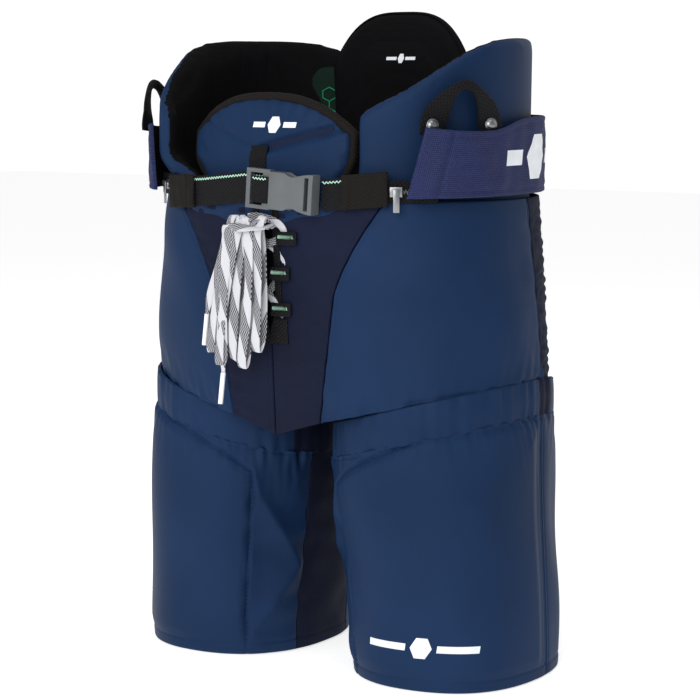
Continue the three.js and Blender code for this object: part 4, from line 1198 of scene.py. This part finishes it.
# back pad: tall, smooth and black, leaning a little forward
across, up = grid(90, 110)
z = mix(backPad["bottomZ"], backPad["topZ"] - backPad["shoulder"] * np.abs(2 * across - 1) ** 3.2, up)
x = mix(-backPad["half"], backPad["half"], across)
p = onShell(-frontAngle(x, z, backPad["offset"]), z, backPad["offset"])
p[..., 1] -= backPad["lean"] * smooth((z - waist["z"]) / (backPad["topZ"] - waist["z"]))
outer, inner, middle, f = padGrids(p, backPad["thick"], 10, 0.0, 1.0)
backBody = skinPiece("back_pad_cloth", outer, inner, None, [lining])


def backSeams(p):
    # a raised centre field inside one line of stitching, on the face towards the wearer
    x, z = p[:, 0] / 50, (p[:, 2] - 430) / 92
    edge = (np.abs(x) ** 3.5 + np.abs(z) ** 3.5) ** (1 / 3.5)
    inside = p[:, 1] < np.interp(p[:, 2], [306, 546], [90, 78])
    dip = 0.7 * np.exp(-(((edge - 1) * 50) / 2.4) ** 2)
    return shellNormal(p) * np.where(inside, dip, 0)[:, None]


inflate(backBody, rimPath(middle), padSim["cap"], backSeams)
dressPad(backBody, [lining, lining], lambda c, n: n[:, 2] > -2)
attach(backBody, "back_guard")
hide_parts("back_pad")
rim = resample(rimPath(middle, fromRow=0.08), 3.0)
backPiping = ribbonPiece("back_pad_piping", rim, shellNormal(rim), 2.6, 6.0, "back_guard", [lining], 12, 2.0)

# tailbone guard: foam in a lined pocket
across, up = grid(40, 50)
p = onShell(90 + mix(-17, 17, across), mix(262, 372, up), -6.6)
outer, inner, middle, f = padGrids(p, 5, 5)
tail = skinPiece("tailbone_pocket", outer, inner, "pants", [lining], f["uv"])
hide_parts("tailbone_guard")

# mesh liner between the pads at the back, printed with a green honeycomb
liner = {"from": 124, "to": 141, "low": 384, "high": 500, "offset": -21.6, "cell": 6.2, "line": 0.45,
         "perDegree": 2.05}


def barsOn(name, starts, ends, normals, half, body, material):
    # one thin box per line, standing just proud of the surface below it
    along = unit(ends - starts)
    across = np.cross(along, normals)
    reach = np.linalg.norm(ends - starts, axis=-1)[:, None, None] / 2 + half * 0.6
    points = (starts + ends)[:, None] / 2 + along[:, None] * reach * cubeCorners[None, :, :1]
    points = points + across[:, None] * half * cubeCorners[None, :, 1:2]
    points = points + normals[:, None] * half * 0.7 * cubeCorners[None, :, 2:]
    return boxesPiece(name, points, body, material)


def honeycomb(width, height, cell):
    # the two ends of every line of a honeycomb that covers a width and a height
    lines = set()
    for row in range(int(height / (1.5 * cell)) + 1):
        for column in range(int(width / (math.sqrt(3) * cell)) + 1):
            cx = (column + 0.5 * (row % 2)) * math.sqrt(3) * cell
            cz = row * 1.5 * cell
            ring = [(round(cx + cell * math.sin(math.radians(60 * k)), 2),
                     round(cz + cell * math.cos(math.radians(60 * k)), 2)) for k in range(7)]
            lines |= {tuple(sorted(pair)) for pair in zip(ring[:-1], ring[1:])}
    return np.array(sorted(lines))


for name, side in sides:
    across, up = grid(40, 60)
    angle = mix(liner["from"], liner["to"], across)
    z = mix(liner["low"], liner["high"] - 10 * (2 * across - 1) ** 4, up)
    p = onShell(mirrored(-side, angle), z, liner["offset"])
    f = surfaceFacts(p, np.zeros(3))
    inner = p - f["normal"] * 0.9
    sheet = skinPiece(f"{name}_back_liner_mesh", p, inner, "pants", [greenMesh], f["uv"])
    span = (liner["to"] - liner["from"]) * liner["perDegree"]
    net = honeycomb(span - 14, liner["high"] - liner["low"] - 26, liner["cell"]) + np.array([5.5, 8])
    angle = mirrored(-side, liner["from"] + net[..., 0] / liner["perDegree"])
    spots = onShell(angle, liner["low"] + net[..., 1], liner["offset"] - 1.2)
    hexes = barsOn(f"{name}_liner_honeycomb", spots[:, 0], spots[:, 1], shellNormal(spots.mean(1)),
                   liner["line"], "pants", hexThread)
print("pads made")

# belt
belt = {"z": 401, "width": 25, "thick": 1.5, "standOff": 3.95, "leftEnd": 54.6, "rightEnd": -13.5}
tunnel = {"inner": 70, "outer": 103, "width": 27.5}


def beltPath(x):
    # the webbing rises a little to the tunnels and hangs between them and the buckle
    path = onFront(x, np.full(x.shape, belt["z"]), belt["standOff"])
    path[:, 2] += np.interp(x, [-95, -62, -16, 57, 93], [-4.2, -2.4, 2.6, -2.2, 1.2])
    return path


def zigzag(name, path, normals, body, amplitude=0.95, pitch=3.0, radius=0.4):
    # overedge stitching as one bent thread, up and down along a path
    path = resample(path, pitch / 4)
    count = len(path)
    wave = amplitude * (2 / math.pi) * np.arcsin(np.sin(np.arange(count) * math.pi / 2 + 0.3))
    normals = between(np.linspace(0, len(normals) - 1, count), np.arange(len(normals)), unit(normals))
    thread = path + upright * wave[:, None]
    piece = ribbonPiece(name, thread, normals, radius * 2.2, radius * 1.4, body, [mintThread], 6, 2.0)
    return piece


for name, start, stop in (("left", belt["leftEnd"], 95), ("right", -95, belt["rightEnd"])):
    path = beltPath(np.linspace(start, stop, 60))
    if name == "right":
        under = np.linspace(stop, 1.5, 14)[1:]
        tail = beltPath(under)
        tail[:, 1] = path[-1, 1] + 1.0 * smooth((under - stop) / 4)
        path = np.concatenate([path, tail])
    webPiece = ribbonPiece(f"belt_webbing_{name}_cloth", path, shellNormal(path), belt["width"],
                           belt["thick"], None, [webbing], power=7.0)
    line = path[1:-1] + shellNormal(path[1:-1]) * 0.95 + upright * 9.6
    for piece in (webPiece, zigzag(f"belt_thread_{name}", line, shellNormal(line), None)):
        if name == "right":
            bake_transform(piece)
        else:
            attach(piece, "pants")
    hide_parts(f"belt_webbing_{name}")

def sleeveLift(f):
    lift = 0.5 * ripple(f["v"], f["u"], 16, 77) + 0.5 * (1 - np.exp(-f["left"] / 5))
    return lift - 0.8 * np.exp(-((f["left"] - 8) / 1.2) ** 2)


for name, side in sides:
    across, up = grid(40, 30)
    x = side * mix(tunnel["inner"], tunnel["outer"] + 1, across)
    z = belt["z"] + mix(-0.5, 0.5, up) * tunnel["width"]
    z = z + np.interp(x, [-103, -70, 70, 103], [-4.4, -2.6, 0, 3.2])
    p = onShell(frontAngle(x, np.full(x.shape, belt["z"])), z, 7.6)
    sleeve = fabricPanel(f"{name}_belt_sleeve", p, "pants", [binding], 2.0, sleeveLift, roll=0.9)
    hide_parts(f"{name}_belt_tunnel")


def refined(node, body, material, width):
    # a copy of a CAD solid with its doubles merged and its edges rounded, standing for the node
    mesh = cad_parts[node].data.copy()
    piece = bpy.data.objects.new(f"{node}_moulded", mesh)
    bpy.context.collection.objects.link(piece)
    tool = bmesh.new()
    tool.from_mesh(mesh)
    bmesh.ops.remove_doubles(tool, verts=tool.verts, dist=1e-6)
    bmesh.ops.dissolve_limit(tool, angle_limit=math.radians(2), verts=tool.verts, edges=tool.edges)
    tool.to_mesh(mesh)
    tool.free()
    mesh.materials.clear()
    mesh.materials.append(material)
    mesh.polygons.foreach_set("material_index", np.zeros(len(mesh.polygons), np.int32))
    bevel = piece.modifiers.new("edges", "BEVEL")
    bevel.width = width / 1000
    bevel.segments = 2
    bevel.limit_method = "ANGLE"
    bevel.angle_limit = math.radians(32)
    bevel.harden_normals = False
    bakeModifiers(piece)
    piece.data.polygons.foreach_set("use_smooth", [True] * len(piece.data.polygons))
    piece.data.set_sharp_from_angle(angle=math.radians(28))
    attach(piece, body)
    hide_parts(node)
    return piece


# the end of the webbing, folded round the bar of the male half
barFold = {"from": -6.4, "to": 10.2, "y": -128.55, "slope": -0.07, "width": 21.5, "count": 30}
x = np.linspace(barFold["from"], barFold["to"], barFold["count"])
y = barFold["y"] + 1.6 * np.exp(-(x - barFold["from"]) / 1.1) + 1.3 * np.exp((x - barFold["to"]) / 0.9)
path = np.stack([x, y, belt["z"] + 1.2 + barFold["slope"] * x], -1)
outward = np.tile([-barFold["slope"], -1.0, 0.0], (barFold["count"], 1))
wrapped = ribbonPiece("belt_webbing_fold", path, outward, barFold["width"], 1.4, "buckle_half", [webbing],
                      power=7.0)
zigzag("belt_thread_fold", path[3:-3] + np.array([0, -0.85, 8.6]), outward[3:-3], "buckle_half")

for node, body in (("buckle_female", "pants"), ("buckle_male", "buckle_half"),
                   ("buckle_prong_upper", "upper_prong"), ("buckle_prong_lower", "lower_prong")):
    refined(node, body, acetal, 0.6)
print("belt made")

# hip bands, loops and zips
band = {"start": 37, "end": 72, "wall": 3.4, "low": 397, "high": 452.5, "frontStandOff": 11.5, "standOff": 0.8}
loop = {"angle": 22, "baseZ": 458.5, "rivetZ": 453.6, "shift": 0.38, "turn": 0.35, "lean": 14}
bands = {}


def localFrame(side, angle, offset, z, shift=0.0, turn=0.0):
    # a frame touching the hip outline: across, outwards and up, to the row frame
    spot = onShell(mirrored(side, -angle), z, offset)
    normal = shellNormal(spot)
    theta = math.atan2(-normal[0], normal[1]) + side * math.radians(turn)
    spot = spot + np.array([side * shift, 0, 0])
    along = np.array([math.cos(theta), math.sin(theta), 0])
    out = np.array([-math.sin(theta), math.cos(theta), 0])

    def place(points):
        q = np.asarray(points, float)
        return spot + q[..., 0:1] * along + q[..., 1:2] * out + q[..., 2:3] * upright

    place.out = out
    return place


for name, side in sides:
    across, up = grid(190, 44, 0.5)
    angle = mix(-band["start"], band["end"], across)
    away = mix(band["frontStandOff"], band["standOff"], smooth((angle + band["start"]) / 45))
    # the top edge dips behind the loop and climbs towards the side; the front edge slants forward as it falls
    dipTop = -3.4 * np.sin(math.pi * np.clip(across / 0.34, 0, 1)) + 7 * smooth((across - 0.2) / 0.25)
    slant = (-3.2 + 5.0 * up) * np.exp(-across * 9)
    z = mix(band["low"], band["high"] + dipTop, up)
    p = onShell(mirrored(side, angle + slant), z, away + band["wall"])

    def bandLift(f, across=across, up=up):
        flap = 1.4 * smooth((24 - f["left"]) / 6) - 1.2 * np.exp(-((f["left"] - 25) / 1.6) ** 2)
        waves = 0.55 * ripple(f["u"], f["v"] * 0.5, 34, 61) + 0.35 * ripple(f["u"] * 0.4, f["v"], 15, 62)
        edges = -0.5 * np.exp(-((f["high"] - 5) / 1.2) ** 2) - 0.5 * np.exp(-((f["low"] - 5) / 1.2) ** 2)
        return flap + waves * smooth(np.minimum(f["low"], f["high"]) / 6) + edges

    wrap = fabricPanel(f"{name}_band_cloth", p, "pants", [bandMesh, lining], band["wall"] - 0.6, bandLift,
                       roll=1.6)
    bands[name] = wrap
    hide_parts(f"{name}_mesh_band")

    shift, turn = splay[name] * loop["shift"], splay[name] * loop["turn"]
    place = localFrame(side, loop["angle"], -3.7, loop["baseZ"], shift, turn)
    half = [[-27, 0, -13], [-26, 0.4, -3], [-21.5, 0.6, 8], [-15, 0.6, 18], [-8, 0.6, 25], [0, 0.6, 27.4]]
    route = resample(half + [[-x, y, z] for x, y, z in half[-2::-1]], 1.2)
    lean = math.radians(loop["lean"])
    high = np.maximum(route[:, 2], 0)
    route[:, 1] += high * math.sin(lean)
    route[:, 2] -= high * (1 - math.cos(lean))
    share = np.abs(np.linspace(-1, 1, len(route)))
    width = mix(7.8, 22, smooth((share - 0.14) / 0.6))
    thick = mix(3.4, 2.3, smooth((share - 0.2) / 0.4))
    outward = place(np.tile([0, math.cos(lean), math.sin(lean)], (len(route), 1))) - place(np.zeros((1, 3)))
    strap = ribbonPiece(f"{name}_loop_webbing", place(route), outward, width, thick, None, [webbing], 14, 4.0)
    base = place(np.zeros(3)) / 1000
    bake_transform(strap)
    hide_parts(f"{name}_hanging_loop")

    # rivet heads: a flat collar under a low dome, turned from its profile
    profile = np.array([[0.01, 2.7], [1.2, 2.6], [2.6, 2.2], [3.6, 1.5], [4.2, 0.8], [4.4, 0.6], [5.2, 0.5],
                        [5.5, 0.2], [5.4, -0.3], [4.8, -0.6], [0.01, -0.6]])
    rivetPlace = localFrame(side, loop["angle"], -3.7, loop["rivetZ"], shift, turn)
    spin = np.linspace(0, 2 * math.pi, 32, endpoint=False)
    for x in (-27, 27):
        rings = np.stack([x + profile[:, :1] * np.cos(spin), 1.55 + profile[:, 1:2] + 0 * spin,
                          profile[:, :1] * np.sin(spin)], -1)
        tubePiece(f"{name}_rivet_head_{'front' if x * side > 0 else 'rear'}", rivetPlace(rings),
                               "pants", [nickel], sharp=40)
    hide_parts(f"{name}_loop_rivets")

    # zip: a tape with two rows of moulded teeth
    zipPlace = localFrame(side, 37, 1.2, 402)
    line = np.stack([np.linspace(-20, 20, 24), np.full(24, 0.7), np.zeros(24)], -1)
    world = zipPlace(line)
    tape = ribbonPiece(f"{name}_zip_tape_cloth", world, np.tile(zipPlace.out, (24, 1)), 18, 1.1, "pants",
                       [webbing], 10, 6.0)
    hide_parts(f"{name}_zip_tape")
    teethX = np.arange(-18.5, 18.6, 1.25)
    sway = np.where(np.arange(len(teethX)) % 2, 0.55, -0.55)
    offsets = np.stack([teethX, np.full(teethX.shape, 1.75), sway], -1)
    teeth = zipPlace(offsets[:, None] + cubeCorners * np.array([0.42, 0.6, 1.3]))
    teethPiece = boxesPiece(f"{name}_zip_teeth", teeth, "pants", acetal)
    refined(f"{name}_zip_slider", f"{name}_slider", nickel, 0.5)
    refined(f"{name}_zip_pull", f"{name}_pull", nickel, 0.3)
print("bands, loops and zips made")

# plain printed marks, a hexagon between two bars, laid on the cloth below them
marks = {"thigh": {"width": 88, "height": 17, "angle": -75, "z": 37},
         "belly": {"width": 44, "height": 13, "z": 453},
         "back": {"width": 38, "height": 8, "x": 6, "z": 507},
         "band": {"height": 36, "z": 427, "angle": 11}, "lift": 0.3}


def markQuads(width, height, lean=0.2):
    # corner points of flat quads, centred on the mark: two halves of a hexagon and a bar on each side
    reach, bar = height * 0.5, height * 0.17
    quads = [[(-reach, 0), (-reach / 2, -reach), (reach / 2, -reach), (reach, 0)],
             [(reach, 0), (reach / 2, reach), (-reach / 2, reach), (-reach, 0)]]
    for sign in (1, -1):
        near, far = reach + height * 0.22, width / 2
        quads.append([(sign * near, -bar), (sign * far, -bar), (sign * far, bar), (sign * near, bar)])
    return [[(x + lean * z, z) for x, z in quad] for quad in quads]


def printOn(name, quads, cloth, place, body, steps=8):
    # quads mapped by place to points and outward directions, then dropped onto the cloth
    allPoints, allFaces = [], []
    a, b = np.meshgrid(np.linspace(0, 1, steps + 1), np.linspace(0, 1, steps + 1))
    a, b = a[..., None], b[..., None]
    for quad in quads:
        c = np.array(quad, float)
        flat = (c[0] * (1 - a) + c[1] * a) * (1 - b) + (c[3] * (1 - a) + c[2] * a) * b
        points, outward = place(flat[..., 0], flat[..., 1])
        points, outward = points.reshape(-1, 3), outward.reshape(-1, 3)
        points = landed(cloth, points, outward, 0)
        base = len(allPoints) * 2 * (steps + 1) ** 2
        allPoints.append(np.concatenate([points + outward * marks["lift"], points - outward * 0.3]))
        at = np.arange((steps + 1) ** 2).reshape(steps + 1, steps + 1)
        top = np.stack([at[:-1, :-1], at[:-1, 1:], at[1:, 1:], at[1:, :-1]], -1).reshape(-1, 4)
        edge = np.concatenate([at[0, :-1], at[:-1, -1], at[-1, :0:-1], at[:0:-1, 0]])
        after = np.roll(edge, -1)
        layer = (steps + 1) ** 2
        rim = np.stack([edge, edge + layer, after + layer, after], -1)
        faces = np.concatenate([top, top[:, ::-1] + layer, rim])
        p = allPoints[-1]
        first = top[0]
        if (np.cross(p[first[1]] - p[first[0]], p[first[2]] - p[first[0]]) * outward[0]).sum() < 0:
            faces = faces[:, ::-1]
        allFaces.append(faces + base)
    piece = meshPiece(name, np.concatenate(allPoints), np.concatenate(allFaces), body, [printWhite])
    return piece


def onThigh(u, v):
    # along the leg outline from the mark's centre, and up
    spots = onLeg(1, marks["thigh"]["angle"] + u / 1.5, marks["thigh"]["z"] + v, 0)
    away = onLeg(1, marks["thigh"]["angle"] + u / 1.5, marks["thigh"]["z"] + v, 10) - spots
    return spots, unit(away)


def onBelly(u, v):
    z = marks["belly"]["z"] + v
    spots = onFront(-2 + u, z)
    return spots, shellNormal(spots)


def onBack(u, v):
    # on the face of the back pad that looks forwards
    z = marks["back"]["z"] + v
    angle = -frontAngle(marks["back"]["x"] + u, z, backPad["offset"])
    spots = onShell(angle, z, backPad["offset"] - backPad["thick"])
    return spots, -shellNormal(spots)


def onBand(side):
    def place(u, v):
        spots = onShell(mirrored(side, marks["band"]["angle"] + side * u / 2.8), marks["band"]["z"] + v, 0)
        return spots, shellNormal(spots)
    return place


for key, cloth, place, body in (("thigh", seamed["left"], onThigh, "left_leg"),
                                ("belly", belly, onBelly, "belly_guard"),
                                ("back", backBody, onBack, "back_guard")):
    printOn(f"{key}_mark", markQuads(marks[key]["width"], marks[key]["height"]), cloth, place, body)
for name, side in sides:
    printOn(f"{name}_band_mark", markQuads(marks["band"]["height"] * 2.9, marks["band"]["height"]), bands[name],
            onBand(side), "pants", 10)
print("marks printed")

# lace tips keep their CAD shape
for node in ("lace_aglet_front", "lace_aglet_rear"):
    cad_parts[node].data.materials.clear()
    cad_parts[node].data.materials.append(clearTip)
